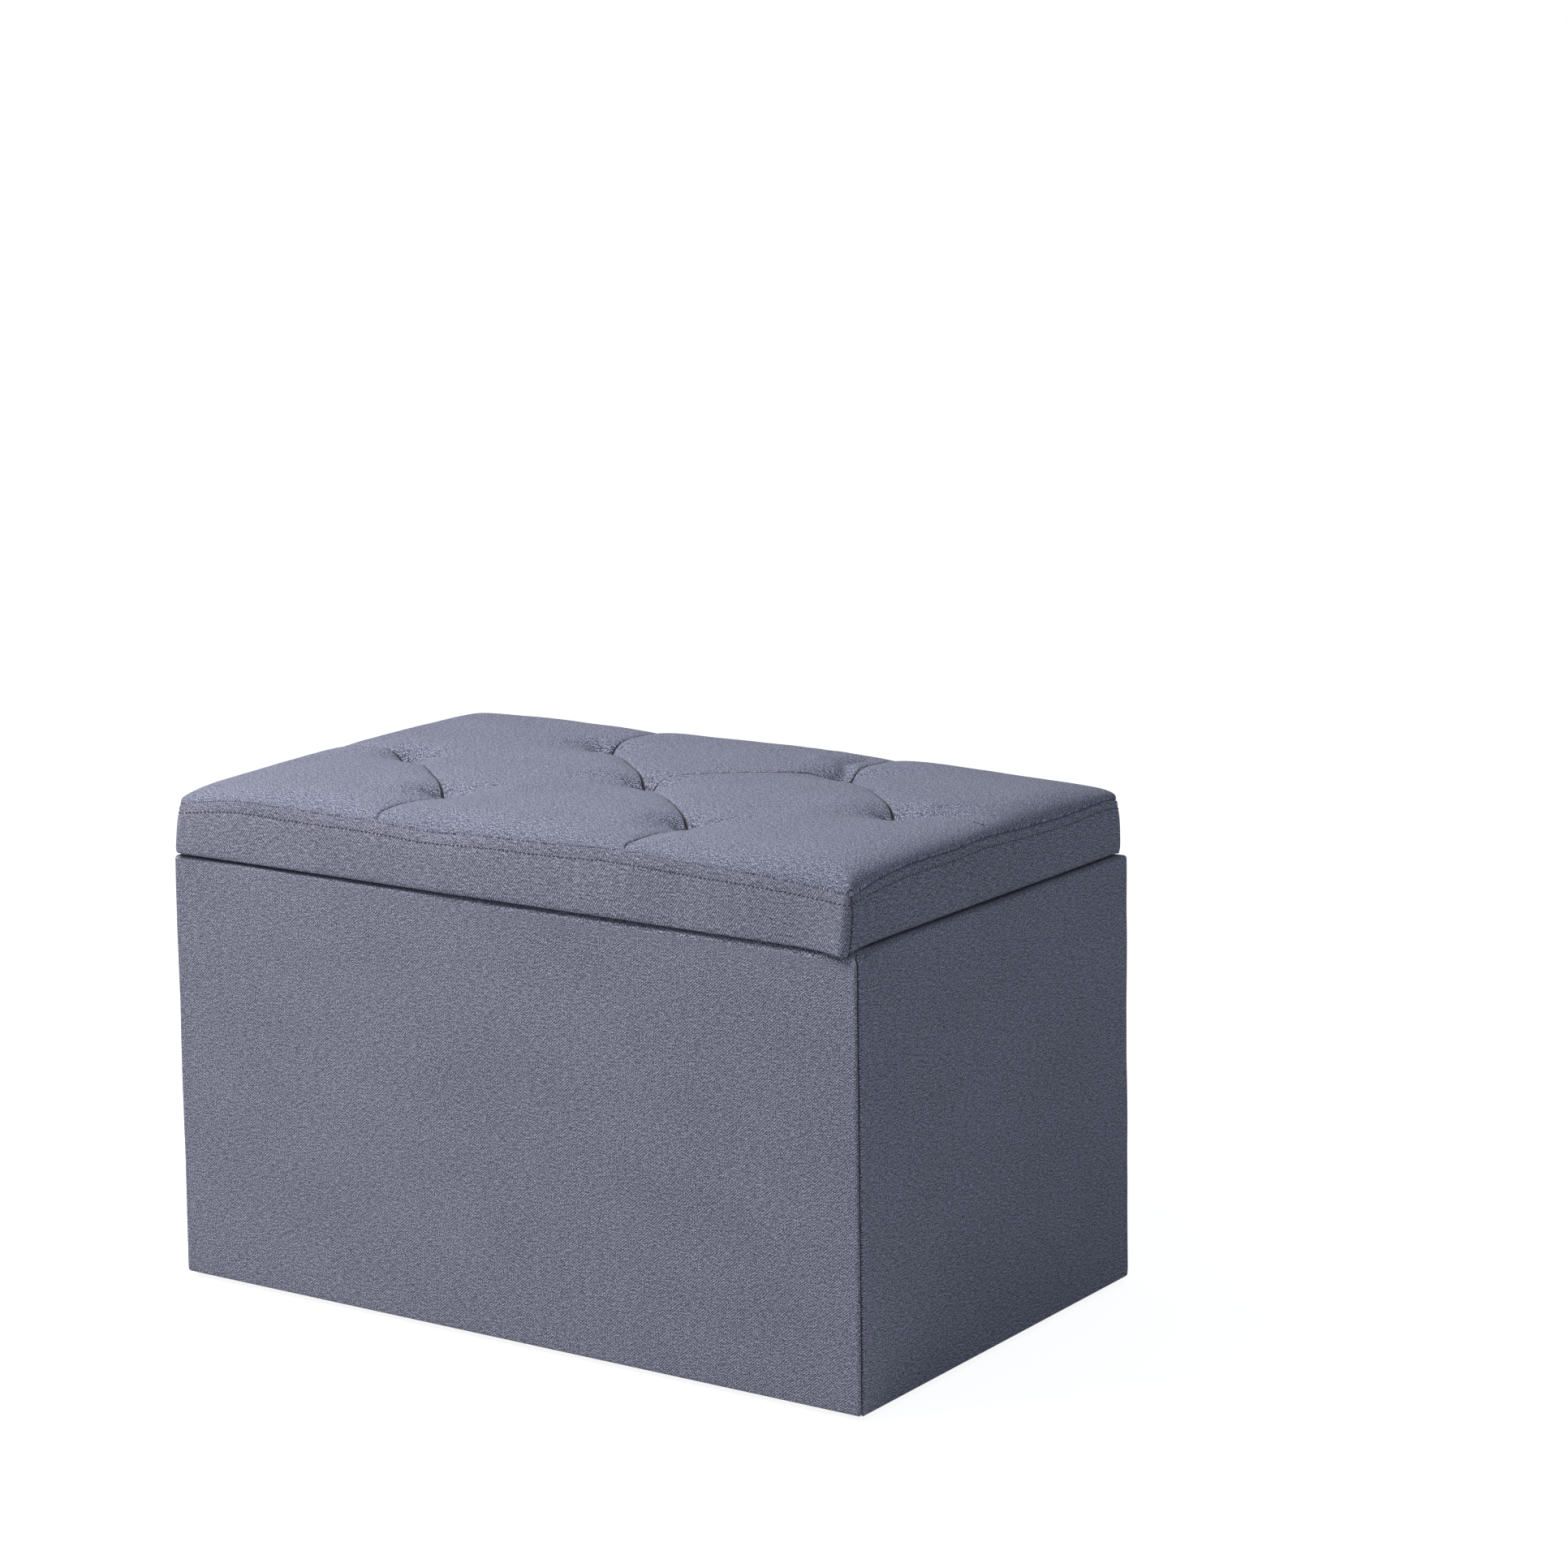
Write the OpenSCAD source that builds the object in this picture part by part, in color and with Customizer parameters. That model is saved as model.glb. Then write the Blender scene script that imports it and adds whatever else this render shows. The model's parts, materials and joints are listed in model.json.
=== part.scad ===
// Upholstered storage bench: a padded, fabric-covered box with a hinged, tufted lid.
// Millimetres. The origin is the centre of the footprint on the floor,
// +X runs right along the front, +Y to the back and +Z up.

/* [Bench] */
// Outer width over the fabric, left to right
bench_w = 762; // [680:1:1100]
// Outer depth over the fabric, front to back
bench_d = 457; // [380:1:550]
// Height of the box's top edge above the floor
box_h = 406; // [338:1:490]
// Radius of the box's upright corners
corner_r = 8; // [7:0.5:16]

/* [Upholstery] */
// Thickness of the woven fabric
cover_t = 1.6; // [1:0.1:2]
// Thickness of the padding under the box's fabric
pad_t = 3.4; // [2:0.1:6]
// How far round the corner the front and back covers reach
seam_set = 10; // [8:0.5:18]
// How far the fabric is turned down inside the box
turn_in = 22; // [12:1:40]
// Thickness of the linings and dust covers
lining_t = 0.8; // [0.5:0.1:1.2]

/* [Box boards] */
// Thickness of the four wall boards
board_t = 15; // [12:0.5:19]
// Thickness of the floor board
floor_t = 9; // [6:0.5:15]
// Height of the floor board's underside above the floor
floor_z = 30; // [26:1:60]
// Side of the square corner blocks
block_w = 40; // [34:1:60]
// Side of the square cleats
cleat_w = 20; // [16:1:30]

/* [Glides] */
// Height of the glides, and so the gap under the box
glide_h = 4; // [3:0.5:12]
// Radius of a glide
glide_r = 11; // [9:0.5:14]

/* [Lid] */
// How far the lid's sides stand in from the box's
lid_inset = 5; // [4:0.5:8]
// Radius of the lid's upright corners
lid_r = 12; // [9:0.5:24]
// Gap between the box's top edge and the lid
lid_gap = 0.4; // [0.2:0.1:1]
// Height of the lid's side band
band_h = 46; // [40:1:70]
// Height of the crown above the band
crown_h = 28; // [20:1:36]
// How far in from the edge the crown is still rising
crown_run = 120; // [60:1:150]
// Thickness of the lid board
lid_board_t = 15; // [12:0.5:19]
// How far the lid board's edge stands in behind the band
edge_ease = 1.8; // [0.2:0.1:3]
// Width of the fabric turned under the lid
flange_w = 51; // [48:1:70]
// How far the lid opens, in degrees
lid_open = 85; // [70:1:88]

/* [Tufts] */
// Distance between tufts along a row
tuft_pitch = 276; // [200:1:290]
// Distance between the rows
row_pitch = 125; // [90:1:135]
// Height of a tuft's bottom above the band
tuft_z = 10; // [6:0.5:14]
// Radius of a pull at the crown
tuft_r = 26; // [14:1:32]
// Radius of a tuft cord
cord_r = 0.9; // [0.6:0.1:1.2]
// Radius of the washer that anchors a cord
washer_r = 10; // [7:0.5:14]

/* [Hinges] */
// Length of a hinge
hinge_l = 64; // [50:1:90]
// Distance from the bench's middle to the middle of a hinge
hinge_x = 250; // [150:1:250]
// Thickness of a hinge leaf
leaf_t = 1.6; // [1:0.1:2]
// Diameter of the hinge pin
pin_d = 3; // [2:0.1:4]

/* [Lid stays] */
// Distance from the hinge axis to the arm's rivet, and to the stud
stay_reach = 150; // [120:1:160]
// Drop of the rivet below the hinge axis
ear_drop = 14; // [12:0.5:18]
// Angle at the hinge axis between rivet and stud, with the lid shut
stay_spread = 25; // [20:1:30]
// Width of the arm
arm_w = 14; // [12:0.5:18]
// Thickness of the arm and of its plates
stay_t = 2; // [1.5:0.1:3]
// Radius of the stud
stud_r = 3; // [2.5:0.1:3.5]
// Radius of the rivet
rivet_r = 2.5; // [2:0.1:3]

/* [Hidden] */

$fn = 48;
over = 1;             // how far a cutting shape runs past a face
soft_gap = 0.2;       // clearance round padding, foam and linings
run_gap = 0.05;       // radial running clearance of pins, rivets and screws
side_gap = 0.3;       // clearance between parts that slide past each other

fabric_colour = [0.50, 0.51, 0.58];
foam_colour = [0.93, 0.88, 0.72];
wadding_colour = [0.95, 0.95, 0.93];
wood_colour = [0.76, 0.63, 0.45];
black_cloth_colour = [0.10, 0.10, 0.11];
steel_colour = [0.72, 0.72, 0.74];
plastic_colour = [0.13, 0.13, 0.14];
thread_colour = [0.85, 0.85, 0.82];

// Box levels and faces
glide_sink = 0.8;                           // how deep a glide's screw head sits
skin = cover_t + pad_t;                     // from the outer face to the boards
wall_t = skin + board_t;                    // from the outer face to the boards' inner face
cover_z = glide_h + lining_t;               // underside of the turned-under fabric
board_z = cover_z + cover_t;                // bottom edge of the wall boards
board_top = box_h - cover_t;                // top edge of the wall boards
in_x = bench_w / 2 - wall_t;                // inner faces of the boards
in_y = bench_d / 2 - wall_t;

// Lid levels and faces
lid_z = box_h + lid_gap;                    // underside of the lid's turned-under fabric
lid_w = bench_w - 2 * lid_inset;
lid_d = bench_d - 2 * lid_inset;
seam_z = lid_z + band_h;                    // seam between the band and the top panel
lid_board_z = lid_z + cover_t;
foam_z = lid_board_z + lid_board_t;
foam_top = seam_z - 4;
dome_steps = 7;
tuft_floor = seam_z + tuft_z;               // bottom of a pull
funnel_r = 3;                               // radius of a pull at its bottom
washer_t = 0.6 * cover_t;                   // a tuft washer and the knot below it lie
knot_t = 0.3 * cover_t;                     // within the thickness of the turned fabric
dust_lap = 8;                               // how far a dust cover laps the turned fabric

// Every tuft's place: a middle row of three and two outer rows of two
TUFTS = [for (row = [-1:1]) for (i = [-1:1])
  if (row == 0 || i != 1) [(i + (row == 0 ? 0 : 0.5)) * tuft_pitch, row * row_pitch]];

// Hinge
pin_r = pin_d / 2;
knuckle_r = pin_r + 1.5;
axis_y = bench_d / 2 - knuckle_r - 0.3;
axis_z = box_h + lid_gap / 2;
knuckles = 5;
knuckle_l = hinge_l / knuckles;
leaf_y = bench_d / 2 - wall_t + 0.5;        // front edge of the leaves
leaf_screw_y = bench_d / 2 - skin - board_t / 2;

// Lid stays: rivet and stud lie at the same distance from the hinge axis, so that the
// arm turns by exactly half the lid's angle while the stud runs along its slot
ear_angle = asin(ear_drop / stay_reach);
rivet_y = axis_y - stay_reach * cos(ear_angle);
rivet_z = axis_z - ear_drop;
stud_y = axis_y - stay_reach * cos(ear_angle + stay_spread);
stud_z = axis_z - stay_reach * sin(ear_angle + stay_spread);
slot_start = 2 * stay_reach * sin(stay_spread / 2);
slot_end = 2 * stay_reach * sin((stay_spread + lid_open) / 2);
slot_gap = 0.15;                            // clearance round the stud in its slot
slot_r = stud_r + slot_gap;
stud_tail_r = 2;                            // stud's tail, set in the wall plate
ear_r = 9;                                  // rounded end of the bracket's ear
arm_angle = atan2(stud_z - rivet_z, stud_y - rivet_y);
plate_x = in_x - lining_t;                  // wall plate's seat
collar_t = 2.2;                             // collar that holds the arm off the plate
arm_x = plate_x - stay_t - collar_t - side_gap - stay_t;   // arm's face towards the middle
ear_x = arm_x - side_gap - stay_t;          // bracket ear's face towards the middle
bracket_w = 19;                             // from the ear to the bracket's free edge
bracket_l = 40;
plate_l = 44;
plate_h = 26;

// Screws: length, shank and head diameters
frame_screw = [45, 4, 8];
cleat_screw = [30, 3.5, 7];
floor_screw = [22, 3.5, 7];
glide_screw = [18, 3.5, 7];
hinge_screw = [25, 3, 5.6];
lid_screw = [12, 3, 5.6];
stay_screw = [12, 3.5, 7];
frame_screw_levels = [for (i = [0:3]) board_z + 35 + i * (board_top - board_z - 60) / 3];

// Staples: crown width, leg length and wire
staple_w = 10;
staple_leg = 8;
staple_wire = 0.6;

// ---------- helpers ----------

// A rounded rectangle about the origin
module rounded(w, d, r) {
  square([w - 2 * r, d], center = true);
  square([w, d - 2 * r], center = true);
  for (sx = [-1, 1], sy = [-1, 1]) translate([sx * (w / 2 - r), sy * (d / 2 - r)]) circle(r);
}

// The box's outline, and the lid's, taken in by an inset
module box_plan(inset = 0) {
  rounded(bench_w - 2 * inset, bench_d - 2 * inset, max(corner_r - inset, 1));
}
module lid_plan(inset = 0) {
  rounded(lid_w - 2 * inset, lid_d - 2 * inset, max(lid_r - inset, 1));
}
module ring_between(a, b) {
  difference() { box_plan(a); box_plan(b); }
}

// A block from two corners
module block(lo, hi) { translate(lo) cube(hi - lo); }

// Children drawn on the left or on the right; they are written for the right
module on_side(side) { mirror([side < 0 ? 1 : 0, 0, 0]) children(); }

// A plate drawn in the Y-Z plane, from x towards +X
module side_plate(x, t) { translate([x, 0, 0]) rotate([90, 0, 90]) linear_extrude(t) children(); }
module x_rod(r, x0, x1, y, z) { translate([x0, y, z]) rotate([0, 90, 0]) cylinder(r = r, h = x1 - x0); }

// A countersunk screw, or with grow its hole: head at the origin, point towards -Z
module screw(size, grow = 0) {
  length = size[0];
  shank = size[1] / 2;
  head = size[2] / 2;
  head_h = head - shank;
  point = 3;
  difference() {
    union() {
      translate([0, 0, -head_h]) cylinder(h = head_h, r1 = shank + grow, r2 = head + grow);
      translate([0, 0, -length + point]) cylinder(h = length - point, r = shank + grow);
      translate([0, 0, -length - grow]) cylinder(h = point + grow, r1 = 0.4 + grow, r2 = shank + grow);
      if (grow > 0) cylinder(h = over, r = head + grow);
    }
    if (grow == 0) for (turn = [0, 90])
      translate([0, 0, -0.5]) rotate(turn) cube([head * 1.1, 0.8, 1.2], center = true);
  }
}

// A staple with its crown towards -Z and its legs up, its crown along X
module staple(grow = 0) {
  wide = staple_wire + 2 * grow;
  for (s = [-1, 1]) translate([s * (staple_w - staple_wire) / 2 - wide / 2, -wide / 2, -staple_wire])
    cube([wide, wide, staple_leg + staple_wire + grow]);
  translate([-staple_w / 2, -wide / 2, -staple_wire]) cube([staple_w, wide, staple_wire]);
}

// ---------- where the fasteners go; each draws its child at every place ----------

module at_frame_screws() {
  for (sx = [-1, 1], sy = [-1, 1], z = frame_screw_levels)
    translate([sx * (in_x + board_t / 2), sy * (bench_d / 2 - skin), z])
      rotate([sy > 0 ? -90 : 90, 0, 0]) children();
}

module at_long_cleat_screws() {
  for (sy = [-1, 1], i = [-1:1])
    translate([i * bench_w * 0.3, sy * (in_y - cleat_w), floor_z - cleat_w / 2])
      rotate([sy > 0 ? 90 : -90, 0, 0]) children();
}

module at_short_cleat_screws() {
  for (sx = [-1, 1], i = [-1, 1])
    translate([sx * (in_x - cleat_w), i * bench_d * 0.2, floor_z - cleat_w / 2])
      rotate([0, sx > 0 ? -90 : 90, 0]) children();
}

module at_floor_screws() {
  for (sy = [-1, 1], i = [-1, 1])
    translate([i * bench_w * 0.15, sy * (in_y - cleat_w / 2), floor_z + floor_t]) children();
}

module at_glides() {
  for (sx = [-1, 1], sy = [-1, 1])
    translate([sx * (in_x - block_w / 2), sy * (in_y - block_w / 2), 0]) children();
}
module at_glide_screws() { at_glides() translate([0, 0, glide_sink]) rotate([180, 0, 0]) children(); }

module at_box_leaf_screws() {
  for (side = [-1, 1], i = [-1:1])
    translate([side * hinge_x + i * hinge_l * 0.34, leaf_screw_y, box_h]) children();
}

module at_lid_leaf_screws() {
  for (side = [-1, 1], i = [-1, 1])
    translate([side * hinge_x + i * hinge_l * 0.17, leaf_screw_y, lid_z]) rotate([180, 0, 0]) children();
}

module at_wall_plate_screws() {
  for (side = [-1, 1], i = [-1, 1]) on_side(side)
    translate([plate_x - stay_t, stud_y + i * (plate_l / 2 - 7), stud_z]) rotate([0, -90, 0]) children();
}

module at_lid_bracket_screws() {
  for (side = [-1, 1], i = [-1, 1]) on_side(side)
    translate([ear_x - bracket_w / 2, rivet_y + i * (bracket_l / 2 - 8), lid_z - stay_t])
      rotate([180, 0, 0]) children();
}

// Staples run round under the box in the boards' edges, and round under the lid
module at_box_staples() {
  y = bench_d / 2 - skin - board_t / 2;
  x = bench_w / 2 - skin - board_t / 2;
  for (s = [-1, 1], i = [-2.5:2.5]) translate([i * bench_w * 0.155, s * y, glide_h]) children();
  for (s = [-1, 1], i = [-1:1]) translate([s * x, i * bench_d * 0.28, glide_h]) rotate(90) children();
}

module at_lid_staples() {
  x = lid_w / 2 - flange_w + dust_lap / 2;
  y = lid_d / 2 - flange_w + dust_lap / 2;
  for (s = [-1, 1], i = [-2.5:2.5]) translate([i * bench_w * 0.155, s * y, lid_z - lining_t]) children();
  for (s = [-1, 1], i = [-1:1]) translate([s * x, i * bench_d * 0.22, lid_z - lining_t]) rotate(90) children();
}

module at_tufts() { for (p = TUFTS) translate([p[0], p[1], 0]) children(); }

// ---------- cuts shared by several pieces ----------

// Room for the hinge knuckles, in everything beside the hinge axis
module knuckle_room() {
  room = 0.5;
  for (side = [-1, 1]) on_side(side)
    x_rod(knuckle_r + room, hinge_x - hinge_l / 2 - room, hinge_x + hinge_l / 2 + room, axis_y, axis_z);
}

// Seats for the hinge leaves in the box's top edge and in the lid's underside
module box_leaf_seats() {
  for (side = [-1, 1])
    block([side * hinge_x - hinge_l / 2 - side_gap, leaf_y - side_gap, box_h - leaf_t],
          [side * hinge_x + hinge_l / 2 + side_gap, axis_y, box_h + over]);
}
module lid_leaf_seats() {
  for (side = [-1, 1])
    block([side * hinge_x - hinge_l / 2 - side_gap, leaf_y - side_gap, lid_z - over],
          [side * hinge_x + hinge_l / 2 + side_gap, axis_y, lid_z + leaf_t]);
}

// ---------- box boards ----------

module wall_board() {
  difference() {
    translate([0, 0, board_z]) linear_extrude(board_top - board_z) children();
    at_frame_screws() screw(frame_screw, run_gap);
    at_long_cleat_screws() screw(cleat_screw, run_gap);
    at_short_cleat_screws() screw(cleat_screw, run_gap);
    at_box_staples() staple(run_gap);
  }
}

// Front and back boards run the full width; the side boards stand between them
module long_wall_plan(side) {
  intersection() {
    box_plan(skin);
    translate([-bench_w / 2, side > 0 ? in_y : -bench_d / 2]) square([bench_w, bench_d / 2 - in_y]);
  }
}
module short_wall_plan(side) {
  translate([side > 0 ? in_x : -in_x - board_t, -in_y]) square([board_t, 2 * in_y]);
}

module board_front() { color(wood_colour) wall_board() long_wall_plan(-1); }

module board_back() {
  color(wood_colour) difference() {
    wall_board() long_wall_plan(1);
    knuckle_room();
    box_leaf_seats();
    at_box_leaf_screws() screw(hinge_screw, run_gap);
  }
}

module side_board(side) {
  color(wood_colour) difference() {
    wall_board() short_wall_plan(side);
    at_wall_plate_screws() screw(stay_screw, run_gap);
  }
}
module board_left() { side_board(-1); }
module board_right() { side_board(1); }

module board_floor() {
  color(wood_colour) difference() {
    translate([0, 0, floor_z]) linear_extrude(floor_t)
      square([2 * (in_x - side_gap), 2 * (in_y - side_gap)], center = true);
    at_floor_screws() screw(floor_screw, run_gap);
  }
}

module corner_blocks() {
  color(wood_colour) difference() {
    for (sx = [-1, 1], sy = [-1, 1])
      translate([sx * (in_x - block_w / 2), sy * (in_y - block_w / 2), (board_z + floor_z) / 2])
        cube([block_w, block_w, floor_z - board_z], center = true);
    at_glide_screws() screw(glide_screw, run_gap);
  }
}

module cleats_long() {
  reach = in_x - block_w - side_gap;
  color(wood_colour) difference() {
    for (s = [-1, 1]) translate([0, s * (in_y - cleat_w / 2), floor_z - cleat_w / 2])
      cube([2 * reach, cleat_w, cleat_w], center = true);
    at_long_cleat_screws() screw(cleat_screw, run_gap);
    at_floor_screws() screw(floor_screw, run_gap);
  }
}

module cleats_short() {
  reach = in_y - block_w - side_gap;
  color(wood_colour) difference() {
    for (s = [-1, 1]) translate([s * (in_x - cleat_w / 2), 0, floor_z - cleat_w / 2])
      cube([cleat_w, 2 * reach, cleat_w], center = true);
    at_short_cleat_screws() screw(cleat_screw, run_gap);
  }
}

module frame_screws() { color(steel_colour) at_frame_screws() screw(frame_screw); }
module cleat_screws() {
  color(steel_colour) {
    at_long_cleat_screws() screw(cleat_screw);
    at_short_cleat_screws() screw(cleat_screw);
  }
}
module floor_screws() { color(steel_colour) at_floor_screws() screw(floor_screw); }

// ---------- box upholstery ----------

// The parts of a plan that belong to the front or back cover, or to a side cover
module long_share(side, reach) {
  translate([-bench_w / 2 - over, side > 0 ? bench_d / 2 - reach : -bench_d / 2 - over])
    square([bench_w + 2 * over, reach + over]);
}
module short_share(side, reach) {
  translate([side > 0 ? 0 : -bench_w / 2 - over, -bench_d / 2 + reach])
    square([bench_w / 2 + over, bench_d - 2 * reach]);
}

module wall_pad() {
  color(foam_colour) difference() {
    translate([0, 0, board_z]) linear_extrude(board_top - board_z - soft_gap) intersection() {
      ring_between(cover_t + soft_gap, skin - soft_gap);
      children();
    }
    knuckle_room();
  }
}
module pad_front() { wall_pad() long_share(-1, seam_set); }
module pad_back() { wall_pad() long_share(1, seam_set); }
module pad_left() { wall_pad() short_share(-1, seam_set + soft_gap); }
module pad_right() { wall_pad() short_share(1, seam_set + soft_gap); }

// A wall's fabric: child 0 is its share of the outer skin, child 1 its share of the turned edges
module wall_cover() {
  color(fabric_colour) difference() {
    union() {
      translate([0, 0, cover_z]) linear_extrude(box_h - cover_z)
        intersection() { ring_between(0, cover_t); children(0); }
      translate([0, 0, cover_z]) linear_extrude(cover_t)
        intersection() { ring_between(cover_t, wall_t - 1); children(1); }
      translate([0, 0, board_top]) linear_extrude(cover_t) intersection() {
        difference() { box_plan(cover_t); square([2 * (in_x - cover_t), 2 * (in_y - cover_t)], center = true); }
        children(1);
      }
      translate([0, 0, box_h - turn_in]) linear_extrude(turn_in) intersection() {
        difference() {
          square([2 * in_x, 2 * in_y], center = true);
          square([2 * (in_x - cover_t), 2 * (in_y - cover_t)], center = true);
        }
        children(1);
      }
    }
    knuckle_room();
    box_leaf_seats();
    at_box_staples() staple(run_gap);
  }
}
module cover_front() { wall_cover() { long_share(-1, seam_set); long_share(-1, wall_t + cover_t); } }
module cover_back() { wall_cover() { long_share(1, seam_set); long_share(1, wall_t + cover_t); } }
module cover_left() {
  wall_cover() { short_share(-1, seam_set + soft_gap); short_share(-1, wall_t + cover_t + soft_gap); }
}
module cover_right() {
  wall_cover() { short_share(1, seam_set + soft_gap); short_share(1, wall_t + cover_t + soft_gap); }
}

module lining_walls() {
  low = floor_z + floor_t;
  color(black_cloth_colour) difference() {
    translate([0, 0, low]) linear_extrude(box_h - turn_in - side_gap - low) difference() {
      square([2 * in_x, 2 * in_y], center = true);
      square([2 * (in_x - lining_t), 2 * (in_y - lining_t)], center = true);
    }
    at_wall_plate_screws() screw(stay_screw, run_gap);
  }
}

module lining_floor() {
  color(black_cloth_colour) translate([0, 0, floor_z + floor_t]) linear_extrude(lining_t)
    square([2 * (in_x - lining_t - side_gap), 2 * (in_y - lining_t - side_gap)], center = true);
}

module box_dust_cover() {
  color(black_cloth_colour) difference() {
    translate([0, 0, glide_h]) linear_extrude(lining_t) box_plan(dust_lap);
    at_glide_screws() screw(glide_screw, run_gap);
    at_box_staples() staple(run_gap);
  }
}

module box_staples() { color(steel_colour) at_box_staples() staple(); }

module glides() {
  color(plastic_colour) difference() {
    at_glides() {
      cylinder(h = 1, r1 = glide_r - 1, r2 = glide_r);
      translate([0, 0, 1]) cylinder(h = glide_h - 1, r = glide_r);
    }
    at_glide_screws() screw(glide_screw, run_gap);
  }
}
module glide_screws() { color(steel_colour) at_glide_screws() screw(glide_screw); }

// ---------- hinges, written for the right ----------

function knuckle_start(k) = hinge_x - hinge_l / 2 + k * knuckle_l;

// Barrels on every other place, from the first one given
module barrels(first, r, gap) {
  for (k = [first:2:knuckles - 1])
    x_rod(r, knuckle_start(k) + gap, knuckle_start(k + 1) - gap, axis_y, axis_z);
}

// A leaf whose plate starts at a height and whose barrels start at place 0 or 1
module hinge_leaf(low, first) {
  difference() {
    union() {
      block([hinge_x - hinge_l / 2, leaf_y, low], [hinge_x + hinge_l / 2, axis_y, low + leaf_t]);
      barrels(first, knuckle_r, side_gap / 2);
    }
    barrels(1 - first, knuckle_r + side_gap, -side_gap / 2);
    x_rod(pin_r + run_gap, hinge_x - hinge_l, hinge_x + hinge_l, axis_y, axis_z);
  }
}

module hinge_box_leaf(side) {
  color(steel_colour) difference() {
    on_side(side) hinge_leaf(box_h - leaf_t, 0);
    at_box_leaf_screws() screw(hinge_screw, run_gap);
  }
}
module hinge_box_leaf_left() { hinge_box_leaf(-1); }
module hinge_box_leaf_right() { hinge_box_leaf(1); }

module hinge_lid_leaf(side) {
  color(steel_colour) difference() {
    on_side(side) hinge_leaf(lid_z, 1);
    at_lid_leaf_screws() screw(lid_screw, run_gap);
  }
}
module hinge_lid_leaf_left() { hinge_lid_leaf(-1); }
module hinge_lid_leaf_right() { hinge_lid_leaf(1); }

module hinge_pin(side) {
  color(steel_colour) on_side(side)
    x_rod(pin_r, hinge_x - hinge_l / 2, hinge_x + hinge_l / 2, axis_y, axis_z);
}
module hinge_pin_left() { hinge_pin(-1); }
module hinge_pin_right() { hinge_pin(1); }

module hinge_box_screws() { color(steel_colour) at_box_leaf_screws() screw(hinge_screw); }
module hinge_lid_screws() { color(steel_colour) at_lid_leaf_screws() screw(lid_screw); }

// ---------- lid stays, written for the right ----------

module stay_wall_plate(side) {
  color(steel_colour) difference() {
    on_side(side) difference() {
      side_plate(plate_x - stay_t, stay_t) translate([stud_y, stud_z]) rounded(plate_l, plate_h, 5);
      x_rod(stud_tail_r + run_gap, plate_x - 2 * stay_t, plate_x + over, stud_y, stud_z);
    }
    at_wall_plate_screws() screw(stay_screw, run_gap);
  }
}
module stay_wall_plate_left() { stay_wall_plate(-1); }
module stay_wall_plate_right() { stay_wall_plate(1); }

module stay_studs() {
  plate_face = plate_x - stay_t;
  head_x = arm_x - side_gap;
  color(steel_colour) for (side = [-1, 1]) on_side(side) {
    x_rod(stud_tail_r, plate_face, plate_x, stud_y, stud_z);
    x_rod(stud_r + 2, plate_face - collar_t, plate_face, stud_y, stud_z);
    x_rod(stud_r, head_x, plate_face, stud_y, stud_z);
    x_rod(stud_r + 2.5, head_x - 1.8, head_x, stud_y, stud_z);
  }
}
module stay_wall_screws() { color(steel_colour) at_wall_plate_screws() screw(stay_screw); }

module stay_arm(side) {
  color(steel_colour) on_side(side) side_plate(arm_x, stay_t)
    translate([rivet_y, rivet_z]) rotate(arm_angle) difference() {
      translate([(slot_end + 3) / 2, 0]) rounded(slot_end + 3 + arm_w, arm_w, arm_w / 2 - 0.01);
      circle(rivet_r + run_gap);
      translate([(slot_start + slot_end) / 2, 0])
        rounded(slot_end - slot_start + 2 * slot_r, 2 * slot_r, slot_r - 0.01);
    }
}
module stay_arm_left() { stay_arm(-1); }
module stay_arm_right() { stay_arm(1); }

module stay_lid_bracket(side) {
  color(steel_colour) difference() {
    on_side(side) difference() {
      union() {
        block([ear_x + stay_t - bracket_w, rivet_y - bracket_l / 2, lid_z - stay_t],
              [ear_x + stay_t, rivet_y + bracket_l / 2, lid_z]);
        side_plate(ear_x, stay_t) {
          translate([rivet_y, rivet_z]) circle(ear_r);
          translate([rivet_y - ear_r, rivet_z]) square([2 * ear_r, lid_z - rivet_z]);
        }
      }
      x_rod(rivet_r + run_gap, ear_x - over, ear_x + stay_t + over, rivet_y, rivet_z);
    }
    at_lid_bracket_screws() screw(stay_screw, run_gap);
  }
}
module stay_lid_bracket_left() { stay_lid_bracket(-1); }
module stay_lid_bracket_right() { stay_lid_bracket(1); }
module stay_lid_screws() { color(steel_colour) at_lid_bracket_screws() screw(stay_screw); }

module stay_rivets() {
  far_x = arm_x + stay_t + side_gap;
  color(steel_colour) for (side = [-1, 1]) on_side(side) {
    x_rod(rivet_r, ear_x - 1.5, far_x + 1.5, rivet_y, rivet_z);
    x_rod(rivet_r + 2, ear_x - 1.5, ear_x, rivet_y, rivet_z);
    x_rod(rivet_r + 2, far_x, far_x + 1.5, rivet_y, rivet_z);
  }
}

// ---------- lid ----------

module cord_holes(r) { at_tufts() translate([0, 0, lid_z]) cylinder(r = r, h = band_h + crown_h); }

module lid_board() {
  color(wood_colour) difference() {
    translate([0, 0, lid_board_z]) linear_extrude(lid_board_t) lid_plan(cover_t + edge_ease);
    cord_holes(4);
    knuckle_room();
    lid_leaf_seats();
    at_lid_leaf_screws() screw(lid_screw, run_gap);
    at_lid_bracket_screws() screw(stay_screw, run_gap);
    at_lid_staples() staple(run_gap);
  }
}

module lid_foam() {
  color(foam_colour) difference() {
    translate([0, 0, foam_z]) linear_extrude(foam_top - foam_z) lid_plan(cover_t + soft_gap);
    cord_holes(cord_r + 0.6);
  }
}

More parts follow.
